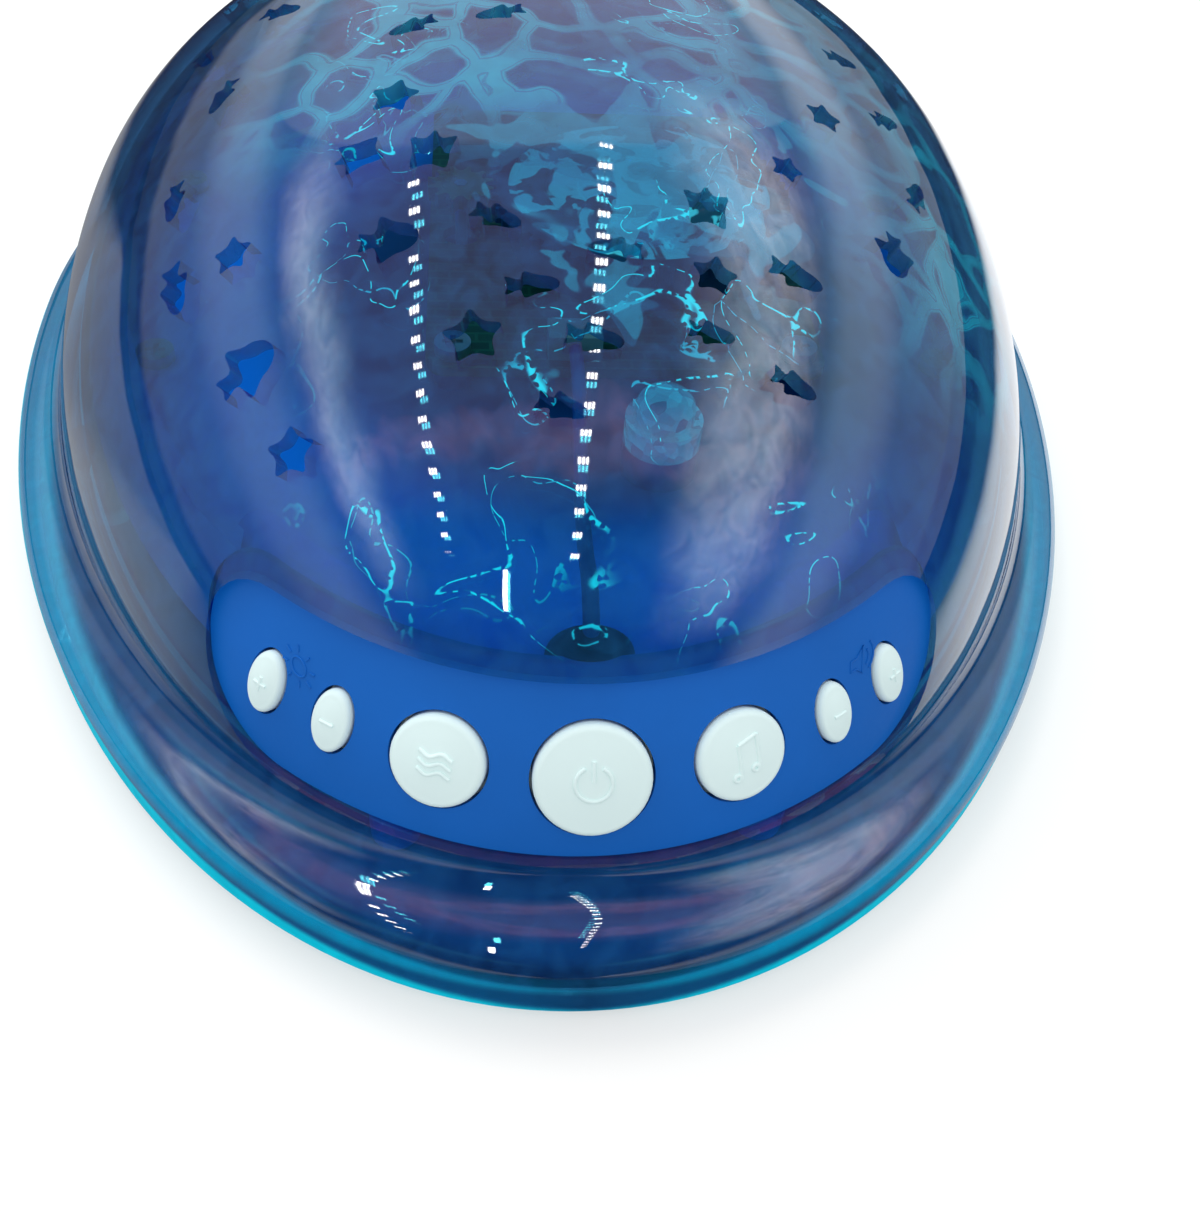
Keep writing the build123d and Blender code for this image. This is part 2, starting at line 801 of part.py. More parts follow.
# Cells, side by side across the body, turn about
cell_places = [bay_y + (n - (cell_count - 1) / 2) * cell_pitch for n in range(cell_count)]
cells = []
for n, y in enumerate(cell_places):
    way = 1 if n % 2 == 0 else -1
    end = Plane(origin=(-way * cell_length / 2, y, cell_level), x_dir=(0, 1, 0), z_dir=(way, 0, 0))
    with BuildPart() as cell:
        add(rod(end, cell_width, cell_length - cell_nub_height))
        add(rod(end, cell_nub, cell_length))
    cells.append(cell.part)
write(group(cells), "batteries")

# Sprung contacts bent from strip, one at each end of each cell
contacts = []
for y in cell_places:
    for side in (-1, 1):
        back = bay_length - contact_wall / 2
        nose = cell_length / 2 + contact_wall
        with BuildPart() as contact:
            with BuildSketch(level(cell_level - contact_width / 2)):
                with BuildLine():
                    FilletPolyline(
                        (side * back, y + contact_width / 2),
                        (side * back, y - contact_width / 2),
                        (side * nose, y),
                        (side * (back - contact_lift), y + contact_width / 2 - contact_lift),
                        radius=contact_bend,
                    )
                trace(line_width=contact_wall)
            extrude(amount=contact_width)
        contacts.append(contact.part)
write(group(contacts), "battery_contacts")

# Tray: a floor with a raised edge that follows the dome, cut back behind the panel's frame
tray_inset = shell_wall + tray_clear
light_post_x = light_board_width / 2 - light_post_edge
light_post_y = light_board_depth / 2 - light_post_edge
light_post_places = [
    (light_board_x + i * light_post_x, light_board_y + j * light_post_y) for i in (-1, 1) for j in (-1, 1)
]
motor_screw_places = [(pinion_x, disc_y - motor_ear_reach), (pinion_x, disc_y + motor_ear_reach)]
with BuildPart() as inner_tray:
    with BuildSketch(level(tray_level)):
        Rectangle(2 * half_width, 3 * front_reach)
    extrude(amount=tray_wall + tray_rise)
    add(dome(tray_inset), mode=Mode.INTERSECT)
    with BuildSketch(level(tray_top)):
        Rectangle(2 * half_width, 3 * front_reach)
    tray_hollow = extrude(amount=tray_rise, mode=Mode.PRIVATE) & dome(tray_inset + tray_rim)
    add(tray_hollow, mode=Mode.SUBTRACT)
    behind_panel = frame_bar(tray_front_clear) - dome(frame_back + tray_front_clear)
    add(behind_panel, mode=Mode.SUBTRACT)
    with BuildSketch(level(tray_top)):
        with Locations(light_post_places):
            Circle(light_post_width / 2)
    extrude(amount=light_post - seat_gap)
    with BuildSketch(level(tray_top)):
        with Locations((star_led_x, star_led_y)):
            Circle(holder_width / 2)
    extrude(amount=light_board_top - tray_top)
    with BuildSketch(level(tray_level)):
        with Locations(post_places + motor_screw_places):
            Circle(screw_shank / 2 + running_gap)
        with Locations((pinion_x, disc_y)):
            Circle(motor_nose / 2 + slide_gap)
    extrude(amount=tray_wall, mode=Mode.SUBTRACT)
    with BuildSketch(level(light_board_level)):
        with Locations(light_post_places):
            Circle(screw_shank / 2 + running_gap)
    extrude(amount=-light_post - tray_wall + blind_floor, mode=Mode.SUBTRACT)
write(inner_tray.part, "inner_tray")
tray_screw_grip = tray_wall + seat_gap + tray_grip
write(group([screw(down(x, y, tray_top), tray_screw_grip) for x, y in post_places]), "tray_screws")

# Light board on the tray's posts, with a hole for the motor's shaft
with BuildPart() as light_board:
    with BuildSketch(level(light_board_level)):
        with Locations((light_board_x, light_board_y)):
            RectangleRounded(light_board_width, light_board_depth, light_board_corner)
        with Locations(light_post_places):
            Circle(screw_shank / 2 + running_gap, mode=Mode.SUBTRACT)
        with Locations((pinion_x, disc_y)):
            Circle(shaft_hole / 2, mode=Mode.SUBTRACT)
    extrude(amount=light_board_wall)
write(light_board.part, "light_board")
light_grip = light_board_wall + seat_gap + light_post + tray_wall - blind_floor - slide_gap
light_screws = [screw(down(x, y, light_board_top), light_grip) for x, y in light_post_places]
write(group(light_screws), "light_board_screws")

# Coloured lamps in a ring under the disc
lamps = []
for n in range(led_count):
    turn = radians(360 / led_count * (n + 0.5))
    x, y = disc_x + led_ring * cos(turn), disc_y + led_ring * sin(turn)
    with BuildPart() as lamp:
        add(rod(up(x, y, light_board_top), led_width + led_rim, led_foot))
        add(rod(up(x, y, light_board_top), led_width, led_height))
        fillet(lamp.edges().filter_by(GeomType.CIRCLE).sort_by(Axis.Z)[-1], led_width / 2 - running_gap)
    lamps.append(lamp.part)
write(group(lamps), "wave_lamps")

# Single white lamp on a post of the tray, which throws the cutouts' shapes, its holder and its round lens
star_base = up(star_led_x, star_led_y, light_board_top)
lamp_chip = block(star_led_x, star_led_y, light_board_top, star_led_size, star_led_size, star_led_height)
write(lamp_chip, "star_lamp")
with BuildPart() as lens_holder:
    add(ring(star_base, holder_width, star_lens_width - star_holder_wall, star_holder_height))
    with BuildSketch(level(light_board_top + star_led_height + star_holder_wall)):
        with Locations((star_led_x, star_led_y)):
            Circle(star_lens_width / 2 + running_gap)
    extrude(amount=star_holder_height, mode=Mode.SUBTRACT)
write(lens_holder.part, "lens_holder")
lens_level = light_board_top + star_led_height + star_holder_wall + running_gap
with BuildPart() as star_lens:
    add(rod(up(star_led_x, star_led_y, lens_level), star_lens_width, star_lens_height))
    lens_rim = star_lens.edges().filter_by(GeomType.CIRCLE).sort_by(Axis.Z)[-1]
    fillet(lens_rim, star_lens_width / 2 - star_lens_flat)
write(star_lens.part, "star_lens")

# White cup round the coloured lamps, bridged to hold the disc's pin
cup_top = light_board_top + cup_height
cup_foot = up(disc_x, disc_y, light_board_top + seat_gap)
with BuildPart() as light_cup:
    add(ring(cup_foot, cup_width, cup_width - 2 * cup_wall, cup_height - seat_gap))
    with BuildSketch(level(cup_top - bridge_height)):
        with Locations((disc_x, disc_y)):
            Rectangle(cup_width - cup_wall, bridge_width)
            Circle(pin_width / 2 + running_gap / 2, mode=Mode.SUBTRACT)
    extrude(amount=bridge_height)
write(light_cup.part, "light_cup")
hub_top = disc_level + hub_height
pin_foot = cup_top - bridge_height
pin_top = hub_top + 2 * seat_gap + clip_height + pin_width / 4
write(rod(up(disc_x, disc_y, pin_foot), pin_width, pin_top - pin_foot), "disc_pin")
clip_bore = pin_width + running_gap
write(ring(up(disc_x, disc_y, hub_top + seat_gap), clip_width, clip_bore, clip_height), "pin_clip")

# Clear disc with rings of ripple, turning on its hub
disc_edge = disc_pitch - gear_module - gear_rim
with BuildPart() as wave_disc:
    with BuildSketch(level(disc_level)):
        with Locations((disc_x, disc_y)):
            Circle(disc_edge)
    extrude(amount=disc_wall)
    for n in range(ripple_count):
        crest = disc_edge * (n + 1.5) / (ripple_count + 1.2)
        crest_at = (disc_x + crest, disc_y, disc_level + disc_wall)
        with BuildSketch(Plane(origin=crest_at, x_dir=(1, 0, 0), z_dir=(0, -1, 0))):
            Ellipse(disc_edge / ripple_count / 3, disc_ripple)
        revolve(axis=Axis((disc_x, disc_y, 0), (0, 0, 1)))
    with BuildSketch(level(disc_level - disc_lift + seat_gap)):
        with Locations((disc_x, disc_y)):
            Circle(hub_width / 2)
    extrude(amount=hub_height + disc_lift - seat_gap)
    with BuildSketch(level(disc_level - disc_lift)):
        with Locations((disc_x, disc_y)):
            Circle(pin_width / 2 + running_gap)
    extrude(amount=hub_height + 2 * disc_lift, mode=Mode.SUBTRACT)
write(wave_disc.part, "wave_disc")


def toothed(teeth, turn):
    """A gear's outline: straight-sided teeth, the first one at an angle."""
    pitch = teeth * gear_module / 2
    step = 360 / teeth
    corners = []
    for n in range(teeth):
        middle = turn + n * step
        for radius, share in (
            (pitch - gear_module, -root_share), (pitch + tooth_reach * gear_module, -tip_share),
            (pitch + tooth_reach * gear_module, tip_share), (pitch - gear_module, root_share),
        ):
            angle = radians(middle + share * step)
            corners.append((radius * cos(angle), radius * sin(angle)))
    with BuildSketch() as shape:
        with BuildLine():
            Polyline(*corners, close=True)
        make_face()
    return shape.sketch


# Toothed ring round the disc, one tooth towards the pinion
with BuildPart() as disc_gear:
    with BuildSketch(level(disc_level)):
        with Locations((disc_x, disc_y)):
            add(toothed(disc_teeth, 180))
            Circle(disc_edge + running_gap / 2, mode=Mode.SUBTRACT)
    extrude(amount=gear_width)
write(disc_gear.part, "disc_gear")

# Pinion on the motor's shaft, one gap towards the disc
with BuildPart() as drive_pinion:
    with BuildSketch(level(disc_level)):
        with Locations((pinion_x, disc_y)):
            add(toothed(pinion_teeth, 180 / pinion_teeth))
            Circle(pin_width / 2 + running_gap / 2, mode=Mode.SUBTRACT)
    extrude(amount=gear_width)
write(drive_pinion.part, "drive_pinion")
motor_top = tray_level - seat_gap
shaft_foot = motor_top - shaft_depth
shaft_top = disc_level + gear_width + seat_gap
write(rod(up(pinion_x, disc_y, shaft_foot), pin_width, shaft_top - shaft_foot), "motor_shaft")

# Geared motor hung under the tray by two ears
with BuildPart() as wave_motor:
    add(rod(down(pinion_x, disc_y, motor_top), motor_width, motor_height))
    add(rod(up(pinion_x, disc_y, motor_top), motor_nose, motor_nose_height))
    with BuildSketch(level(motor_top)):
        with Locations((pinion_x, disc_y)):
            SlotCenterToCenter(2 * motor_ear_reach, boss_width, rotation=90)
    extrude(amount=-motor_ear_wall)
    with BuildSketch(level(motor_top + motor_nose_height)):
        with Locations((pinion_x, disc_y)):
            Circle(pin_width / 2 + running_gap)
    extrude(amount=-motor_nose_height - shaft_depth - seat_gap, mode=Mode.SUBTRACT)
    with BuildSketch(level(motor_top)):
        with Locations(motor_screw_places):
            Circle(screw_shank / 2 + running_gap)
    extrude(amount=-motor_ear_wall, mode=Mode.SUBTRACT)
write(wave_motor.part, "wave_motor")
motor_grip = tray_wall + seat_gap + motor_ear_wall + motor_screw_end
write(group([screw(down(x, y, tray_top), motor_grip) for x, y in motor_screw_places]), "motor_screws")

# Speaker facing down on its rest: pressed basket, paper cone and magnet
speaker_level = base_top + speaker_stand + seat_gap
basket_top = speaker_level + speaker_depth
speaker_axis = Axis((0, speaker_y, 0), (0, 0, 1))
speaker_section = Plane(origin=(0, speaker_y, 0), x_dir=(1, 0, 0), z_dir=(0, -1, 0))
magnet_edge = magnet_width / 2
with BuildPart() as speaker_basket:
    with BuildSketch(speaker_section):
        with BuildLine():
            Polyline(
                (speaker_flange / 2, speaker_level),
                (speaker_flange / 2, speaker_level + speaker_flange_wall),
                (speaker_width / 2, speaker_level + speaker_flange_wall),
                (magnet_edge, basket_top),
                (coil_width / 2, basket_top),
                (coil_width / 2, basket_top - speaker_wall),
                (magnet_edge - speaker_wall, basket_top - speaker_wall),
                (speaker_width / 2 - speaker_rest, speaker_level + speaker_wall / 2),
                (speaker_width / 2 - speaker_rest, speaker_level),
                close=True,
            )
        make_face()
    revolve(axis=speaker_axis)
    with BuildSketch(level(speaker_level)):
        with Locations(speaker_screw_places):
            Circle(screw_shank / 2 + running_gap)
    extrude(amount=speaker_flange_wall, mode=Mode.SUBTRACT)
write(speaker_basket.part, "speaker_basket")
with BuildPart() as speaker_cone:
    cone_edge = speaker_width / 2 - speaker_rest - slide_gap
    with BuildSketch(speaker_section):
        with BuildLine():
            Polyline(
                (cone_edge, speaker_level),
                (cone_edge, speaker_level + cone_wall),
                (coil_width / 2 - slide_gap, basket_top - cone_rise),
                (coil_width / 2 - slide_gap, basket_top),
                (0, basket_top),
                (0, basket_top - cone_rise - cone_wall),
                (coil_width / 2 - cone_wall, basket_top - cone_rise - cone_wall),
                (cone_edge - 2 * cone_wall, speaker_level),
                close=True,
            )
        make_face()
    revolve(axis=speaker_axis)
write(speaker_cone.part, "speaker_cone")
write(rod(up(0, speaker_y, basket_top + seat_gap), magnet_width, magnet_height), "speaker_magnet")
speaker_seat = speaker_level + speaker_flange_wall
speaker_screw_grip = speaker_flange_wall + seat_gap + speaker_stand + speaker_grip - slide_gap
speaker_screws = [screw(down(x, y, speaker_seat), speaker_screw_grip) for x, y in speaker_screw_places]
write(group(speaker_screws), "speaker_screws")

# Main board on its posts, with chips, cans and sockets
with BuildPart() as main_board:
    with BuildSketch(level(main_board_level)):
        with Locations((main_board_x, main_board_y)):
            Rectangle(main_board_width, main_board_depth)
        with Locations(board_post_places):
            Circle(screw_shank / 2 + running_gap, mode=Mode.SUBTRACT)
    extrude(amount=main_board_wall)
write(main_board.part, "main_board")
main_board_top = main_board_level + main_board_wall
main_grip = main_board_wall + main_board_lift - slide_gap
board_screws = [screw(down(x, y, main_board_top), main_grip) for x, y in board_post_places]
write(group(board_screws), "main_board_screws")


def on_board(x, y, width, depth, height):
    """A block on the main board, placed from the board's middle."""
    return block(main_board_x + x, main_board_y + y, main_board_top, width, depth, height)


chips = [on_board(0, y * chip_pitch, chip_size, chip_size, chip_height) for y in (-1, 0, 1)]
write(group(chips), "board_chips")
can_places = [(main_board_x + chip_size, main_board_y + y * can_width) for y in (-0.7, 0.7)]
cans = [rod(up(x, y, main_board_top), can_width, can_height) for x, y in can_places]
write(group(cans), "board_capacitors")
socket_at = -chip_size
sockets = [on_board(socket_at, y * plug_width, plug_depth, plug_height, plug_height) for y in (-1, 0, 1)]
write(group(sockets), "board_sockets")

# Cable from the keys: up out of the grommet, back over the tray and into its plug on the light board
plug_y = light_board_y - light_board_depth / 2 + plug_edge
write(block(plug_x, plug_y, light_board_top, plug_width, plug_depth, plug_height), "cable_plug")
cable_end = light_board_top + plug_height / 2
grommet_out = frame_top + grommet_lip + running_gap
cable_points = (
    (0, grommet_y, frame_top - frame_wall),
    (0, grommet_y, grommet_out + cable_turn),
    (plug_x * 0.1, grommet_y + 7, grommet_out + cable_turn + 1),
    (plug_x * 0.3, grommet_y + 17, grommet_out - 1),
    (plug_x * 0.6, grommet_y + 30, cable_end - 3.4),
    (plug_x, plug_y - 10, cable_end),
    (plug_x, plug_y - plug_depth / 2, cable_end),
)


def corner_radii(points):
    """As large a radius at each corner as its two runs allow."""
    radii = []
    for before, here, after in zip(points, points[1:], points[2:]):
        run_in, run_out = Vector(here) - Vector(before), Vector(after) - Vector(here)
        half_angle = radians(run_in.get_angle(run_out) / 2)
        radii.append(0.45 * min(run_in.length, run_out.length) / tan(half_angle))
    return radii


radii = corner_radii(cable_points)
with BuildPart() as key_cable:
    with BuildLine() as route:
        FilletPolyline(*cable_points, radius=radii)
    with BuildSketch(Plane(origin=cable_points[0])):
        Circle(cable_width / 2)
    sweep()
write(key_cable.part, "key_cable")
print("cable radii", [round(r, 1) for r in radii])
cable_length = sum(edge.length for edge in route.edges())
cable_section = pi * cable_width**2 / 4
print("cable volume over section times length", key_cable.part.volume / (cable_section * cable_length))

# Tail: two flukes with rounded edges on a narrow neck, and a root that lies on the dome
with BuildPart() as flukes:
    with BuildSketch(level(tail_neck_level - fluke_wall / 2)):
        with BuildLine():
            notch = (0, front_reach - fluke_notch)
            root = (0, front_reach - fluke_notch - fluke_root)
            tip = (fluke_span / 2, front_reach)
            ThreePointArc(root, (fluke_span * 0.3, front_reach - fluke_notch - fluke_root * 0.28), tip)
            ThreePointArc(tip, (fluke_span * 0.22, front_reach - fluke_notch * 0.62), notch)
            Line(notch, root)
        make_face()
        mirror(about=Plane.YZ)
    extrude(amount=fluke_wall)
    fillet(flukes.edges().filter_by(Axis.Z, reverse=True), fluke_round)
with BuildPart() as tail:
    with BuildSketch(tail_root.offset(-tail_root_inside)):
        Ellipse(tail_root_width / 2, tail_root_height / 2)
    with BuildSketch(tail_root.offset(tail_root_inside)):
        Ellipse((tail_root_width + tail_neck_width) / 4, (tail_root_height + tail_neck_height) / 4)
    with BuildSketch(Plane(origin=(0, tail_neck_at, tail_neck_level), x_dir=(1, 0, 0), z_dir=(0, 2, 1))):
        Ellipse(tail_neck_width / 2, tail_neck_height / 2)
    loft()
    add(flukes.part)
    add(dome(-seat_gap), mode=Mode.SUBTRACT)
    with BuildSketch(tail_root.offset(-shell_wall - washer_room)):
        Circle(tail_spigot / 2)
    extrude(amount=shell_wall + washer_room + tail_root_inside)
    with BuildSketch(tail_root.offset(-shell_wall - washer_room)):
        Circle(screw_shank / 2 + running_gap)
    extrude(amount=screw_grip + slide_gap, mode=Mode.SUBTRACT)
write(tail.part, "tail")
washer_seat = tail_root.offset(-shell_wall - washer_room - seat_gap - tail_washer_wall)
write(ring(washer_seat, tail_washer, screw_shank + 2 * running_gap, tail_washer_wall), "tail_washer")
write(screw(washer_seat, tail_washer_wall + seat_gap + screw_grip), "tail_screw")
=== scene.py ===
import math

import bmesh
import bpy
import numpy as np
from mathutils import Matrix, Vector


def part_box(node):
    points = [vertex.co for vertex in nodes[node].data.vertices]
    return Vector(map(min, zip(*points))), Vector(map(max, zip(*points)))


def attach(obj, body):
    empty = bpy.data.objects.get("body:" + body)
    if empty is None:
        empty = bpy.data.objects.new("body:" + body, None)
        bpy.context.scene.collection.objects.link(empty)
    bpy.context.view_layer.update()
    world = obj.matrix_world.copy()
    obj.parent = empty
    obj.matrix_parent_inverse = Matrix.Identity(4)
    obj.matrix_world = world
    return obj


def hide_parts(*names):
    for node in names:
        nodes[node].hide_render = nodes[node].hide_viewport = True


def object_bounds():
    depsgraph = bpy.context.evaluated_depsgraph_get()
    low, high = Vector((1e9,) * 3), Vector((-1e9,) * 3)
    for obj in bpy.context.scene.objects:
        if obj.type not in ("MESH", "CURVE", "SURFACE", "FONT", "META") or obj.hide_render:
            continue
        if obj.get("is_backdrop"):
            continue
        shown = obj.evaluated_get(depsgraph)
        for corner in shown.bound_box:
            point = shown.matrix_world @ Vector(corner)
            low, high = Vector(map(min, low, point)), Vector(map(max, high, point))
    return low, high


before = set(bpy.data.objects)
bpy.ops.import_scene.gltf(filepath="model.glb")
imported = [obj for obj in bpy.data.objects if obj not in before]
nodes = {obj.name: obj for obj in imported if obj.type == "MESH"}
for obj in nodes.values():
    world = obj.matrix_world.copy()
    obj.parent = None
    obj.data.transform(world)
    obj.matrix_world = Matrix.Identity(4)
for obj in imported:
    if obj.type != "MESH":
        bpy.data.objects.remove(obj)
cad_box = [list(corner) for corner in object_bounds()]

# Camera. It looks down on the keys from in front and a little to the left, close enough that
# the dome's far end runs out of the picture.
camera = bpy.data.objects.new("camera", bpy.data.cameras.new("camera"))
bpy.context.scene.collection.objects.link(camera)
right, up, ahead = (0.9951, -0.0721, 0.0676), (0.0077, 0.7381, 0.6747), (0.0986, 0.6708, -0.7350)
camera.matrix_world = Matrix((
    (right[0], up[0], -ahead[0], -0.01274),
    (right[1], up[1], -ahead[1], -0.19449),
    (right[2], up[2], -ahead[2], 0.13996),
    (0, 0, 0, 1),
))
camera.data.sensor_width = 36
camera.data.lens = 36.9
camera.data.clip_start = 0.01
bpy.context.scene.camera = camera
bpy.context.scene.view_settings.view_transform = "Standard"


def tree_of(owner):
    """An empty node tree, with short ways to add nodes, sums, products and soft steps to it."""
    owner.use_nodes = True
    owner.node_tree.nodes.clear()

    def add(kind, _links=None, _props=None, **values):
        node = owner.node_tree.nodes.new(kind)
        for key, value in (_props or {}).items():
            setattr(node, key, value)
        for key, value in values.items():
            node.inputs[key.replace("_", " ")].default_value = value
        for key, socket in (_links or {}).items():
            owner.node_tree.links.new(node.inputs[key], socket)
        return node

    def maths(operation, *terms, clamp=False):
        node = add("ShaderNodeMath", _props={"operation": operation, "use_clamp": clamp})
        for n, term in enumerate(terms):
            if isinstance(term, (int, float)):
                node.inputs[n].default_value = term
            else:
                owner.node_tree.links.new(node.inputs[n], term)
        return node.outputs[0]

    def times(product, *factors):
        for factor in factors:
            product = maths("MULTIPLY", product, factor)
        return product

    def ramp(value, low, high):
        """0 below low and 1 above high, with a soft step between."""
        node = add("ShaderNodeMapRange", {"Value": value}, {"interpolation_type": "SMOOTHSTEP"})
        node.inputs["From Min"].default_value = low
        node.inputs["From Max"].default_value = high
        return node.outputs[0]

    def fade(value, low, high):
        """1 below low and 0 above high."""
        return maths("SUBTRACT", 1, ramp(value, low, high))

    return add, maths, times, ramp, fade


# Room. Pale walls all round and a dark ceiling straight over the table, with two rows of small lamps
# along it, a short lamp on its own, bands of daylight and a red blush. Only the gloss shows all that:
# the camera sees white, and an even pale fill lights the rest.
world = bpy.data.worlds.new("room")
bpy.context.scene.world = world
add, maths, times, ramp, fade = tree_of(world)
way = add("ShaderNodeSeparateXYZ", {0: add("ShaderNodeTexCoord").outputs["Generated"]}).outputs
height = maths("MAXIMUM", way[2], 0.02)
across, along = maths("DIVIDE", way[0], height), maths("DIVIDE", way[1], height)
aside = maths("ABSOLUTE", across)
ceiling = {"Vector": add("ShaderNodeCombineXYZ", {0: across, 1: along}).outputs[0]}
drift = add("ShaderNodeTexNoise", ceiling, Scale=2.6, Detail=3.0).outputs["Fac"]
silky = add("ShaderNodeTexNoise", ceiling, Scale=9, Detail=5.0, Distortion=1.0).outputs["Fac"]


def band(value, middle, half, soft):
    """1 within half of a middle, fading over a soft edge."""
    return fade(maths("ABSOLUTE", maths("SUBTRACT", value, middle)), half - soft, half + soft)


ROW_HALF, DOT_STEP, DOT_HALF, BAR_STEP, BAR_HALF, LAMP_POWER = 0.018, 0.04, 0.009, 0.0065, 0.003, 36
lamps = []
for lean, offset, first, last in ((0.1, -0.485, -0.47, 0.9), (0.13, 0.09, -0.54, 0.8)):
    sideways = maths("SUBTRACT", across, maths("MULTIPLY_ADD", along, lean, offset))
    row = times(band(sideways, 0, ROW_HALF, 0.004), band(along, (first + last) / 2, (last - first) / 2, 0.01))
    dots = band(maths("PINGPONG", along, DOT_STEP), 0, DOT_HALF, 0.003)
    bars = maths("MULTIPLY_ADD", band(maths("PINGPONG", sideways, BAR_STEP), 0, BAR_HALF, 0.002), 0.8, 0.2)
    lamps.append(times(row, dots, bars))
leaning = maths("MULTIPLY_ADD", along, -0.2, across)
lamps.append(times(band(leaning, -0.16, 0.011, 0.003), band(along, -0.65, 0.1, 0.005)))
lamp_light = maths("ADD", maths("ADD", lamps[0], lamps[1]), lamps[2])

wavering = maths("ADD", across, maths("MULTIPLY_ADD", drift, 0.3, -0.15))
daylight_left = times(band(wavering, -0.95, 0.12, 0.12), band(along, 0.3, 0.8, 0.3))
daylight_right = times(band(wavering, 0.8, 0.24, 0.22), band(along, 0.2, 0.95, 0.3))
daylight = times(maths("ADD", daylight_left, daylight_right), maths("MULTIPLY_ADD", silky, 1.9, 0.1))

far_wall = times(ramp(maths("SUBTRACT", along, times(across, across, 0.65)), 0.76, 0.8), 0.38)
side_wall = times(
    ramp(aside, 1.0, 1.5), maths("MULTIPLY_ADD", ramp(aside, 1.8, 2.8), -0.6, 1),
    maths("MULTIPLY_ADD", ramp(across, -0.5, 0.5), 0.3, 0.7),
)
upper_walls = times(maths("MAXIMUM", far_wall, side_wall), ramp(way[2], 0.05, 0.09))
lower_walls = times(maths("MULTIPLY_ADD", ramp(way[0], -0.2, 0.5), 0.3, 0.02), fade(way[2], 0.05, 0.09))
seen = maths("MULTIPLY_ADD", maths("ADD", upper_walls, lower_walls), 0.95, 0.03)
seen = maths("ADD", maths("MULTIPLY_ADD", daylight, 1.7, seen), times(lamp_light, LAMP_POWER))

wavering = maths("MULTIPLY_ADD", drift, 0.4, along)
overhead = times(band(wavering, 0.13, 0.09, 0.07), band(across, 0.1, 1.1, 0.3))
beside = times(band(across, 0.8, 0.3, 0.25), band(along, -0.05, 0.4, 0.35))
streaks = times(maths("MAXIMUM", overhead, beside), maths("MULTIPLY_ADD", silky, 1.6, 0.1))
blush = times(ramp(along, -0.4, -0.05), fade(aside, 0.8, 1.3), 0.4)

path = add("ShaderNodeLightPath").outputs
room_light = add("ShaderNodeBackground", {"Strength": seen}, Color=(1, 0.985, 0.97, 1))
red_light = add(
    "ShaderNodeBackground", {"Strength": maths("MAXIMUM", streaks, blush)}, Color=(0.9, 0.36, 0.42, 1)
)
gloss_light = add("ShaderNodeAddShader", {0: room_light.outputs[0], 1: red_light.outputs[0]})
fill_light = add("ShaderNodeBackground", Color=(0.97, 0.985, 1, 1), Strength=0.95)
white = add("ShaderNodeBackground", Color=(1, 1, 1, 1), Strength=1.0)
lit = add("ShaderNodeMixShader", {0: path["Is Glossy Ray"], 1: fill_light.outputs[0], 2: gloss_light.outputs[0]})
straight = maths("MAXIMUM", path["Is Camera Ray"], path["Is Transmission Ray"])
shown = add("ShaderNodeMixShader", {0: straight, 1: lit.outputs[0], 2: white.outputs[0]})
add("ShaderNodeOutputWorld", {"Surface": shown.outputs[0]})

soft_box = bpy.data.objects.new("soft_box", bpy.data.lights.new("soft_box", "AREA"))
bpy.context.scene.collection.objects.link(soft_box)
soft_box.data.energy, soft_box.data.size = 9, 0.9
soft_box.location = (-0.35, 0.75, 1.1)
soft_box.rotation_euler = (Vector((0, 0, 0.03)) - soft_box.location).to_track_quat("-Z", "Y").to_euler()
soft_box.visible_glossy = False

# Table. A wide white top that runs out past the picture on every side and keeps the soft shadow under
# the rim. The gloss shows it dark except close to the body, it lights the underside, and from below it
# isn't seen, so the feet and the door over the cells show.
TABLE = 4
table = bpy.data.objects.new("table_top", bpy.data.meshes.new("table_top"))
bpy.context.scene.collection.objects.link(table)
corners = [(-TABLE, -TABLE, 0), (TABLE, -TABLE, 0), (TABLE, TABLE, 0), (-TABLE, TABLE, 0)]
table.data.from_pydata(corners, [], [(0, 1, 2, 3)])
table_white = bpy.data.materials.new("table_white")
add, maths, times, ramp, fade = tree_of(table_white)
path = add("ShaderNodeLightPath").outputs
spot = add("ShaderNodeTexCoord").outputs["Object"]
x, y, _ = add("ShaderNodeSeparateXYZ", {0: spot}).outputs
far_off = add("ShaderNodeVectorMath", {0: spot}, {"operation": "LENGTH"}).outputs["Value"]

close = fade(far_off, 0.14, 0.2)
left_side = ramp(maths("SUBTRACT", maths("MULTIPLY_ADD", x, -0.85, -0.025), y), -0.02, 0.03)
right_side = ramp(maths("SUBTRACT", y, maths("MULTIPLY_ADD", x, 0.45, -0.141)), -0.03, 0.03)
sheet = times(left_side, right_side, fade(far_off, 0.6, 0.9))
left_dimmer = maths("MULTIPLY_ADD", ramp(y, -0.04, 0.0), -0.4, 0.9)
to_the_right = ramp(x, -0.05, 0.05)
near_by = times(maths("MAXIMUM", close, sheet), maths("MAXIMUM", to_the_right, left_dimmer), ramp(y, -0.13, -0.07))
in_gloss = times(path["Is Glossy Ray"], near_by, to_the_right)
looked_at = maths("MAXIMUM", maths("MAXIMUM", path["Is Camera Ray"], path["Is Transmission Ray"]), in_gloss)

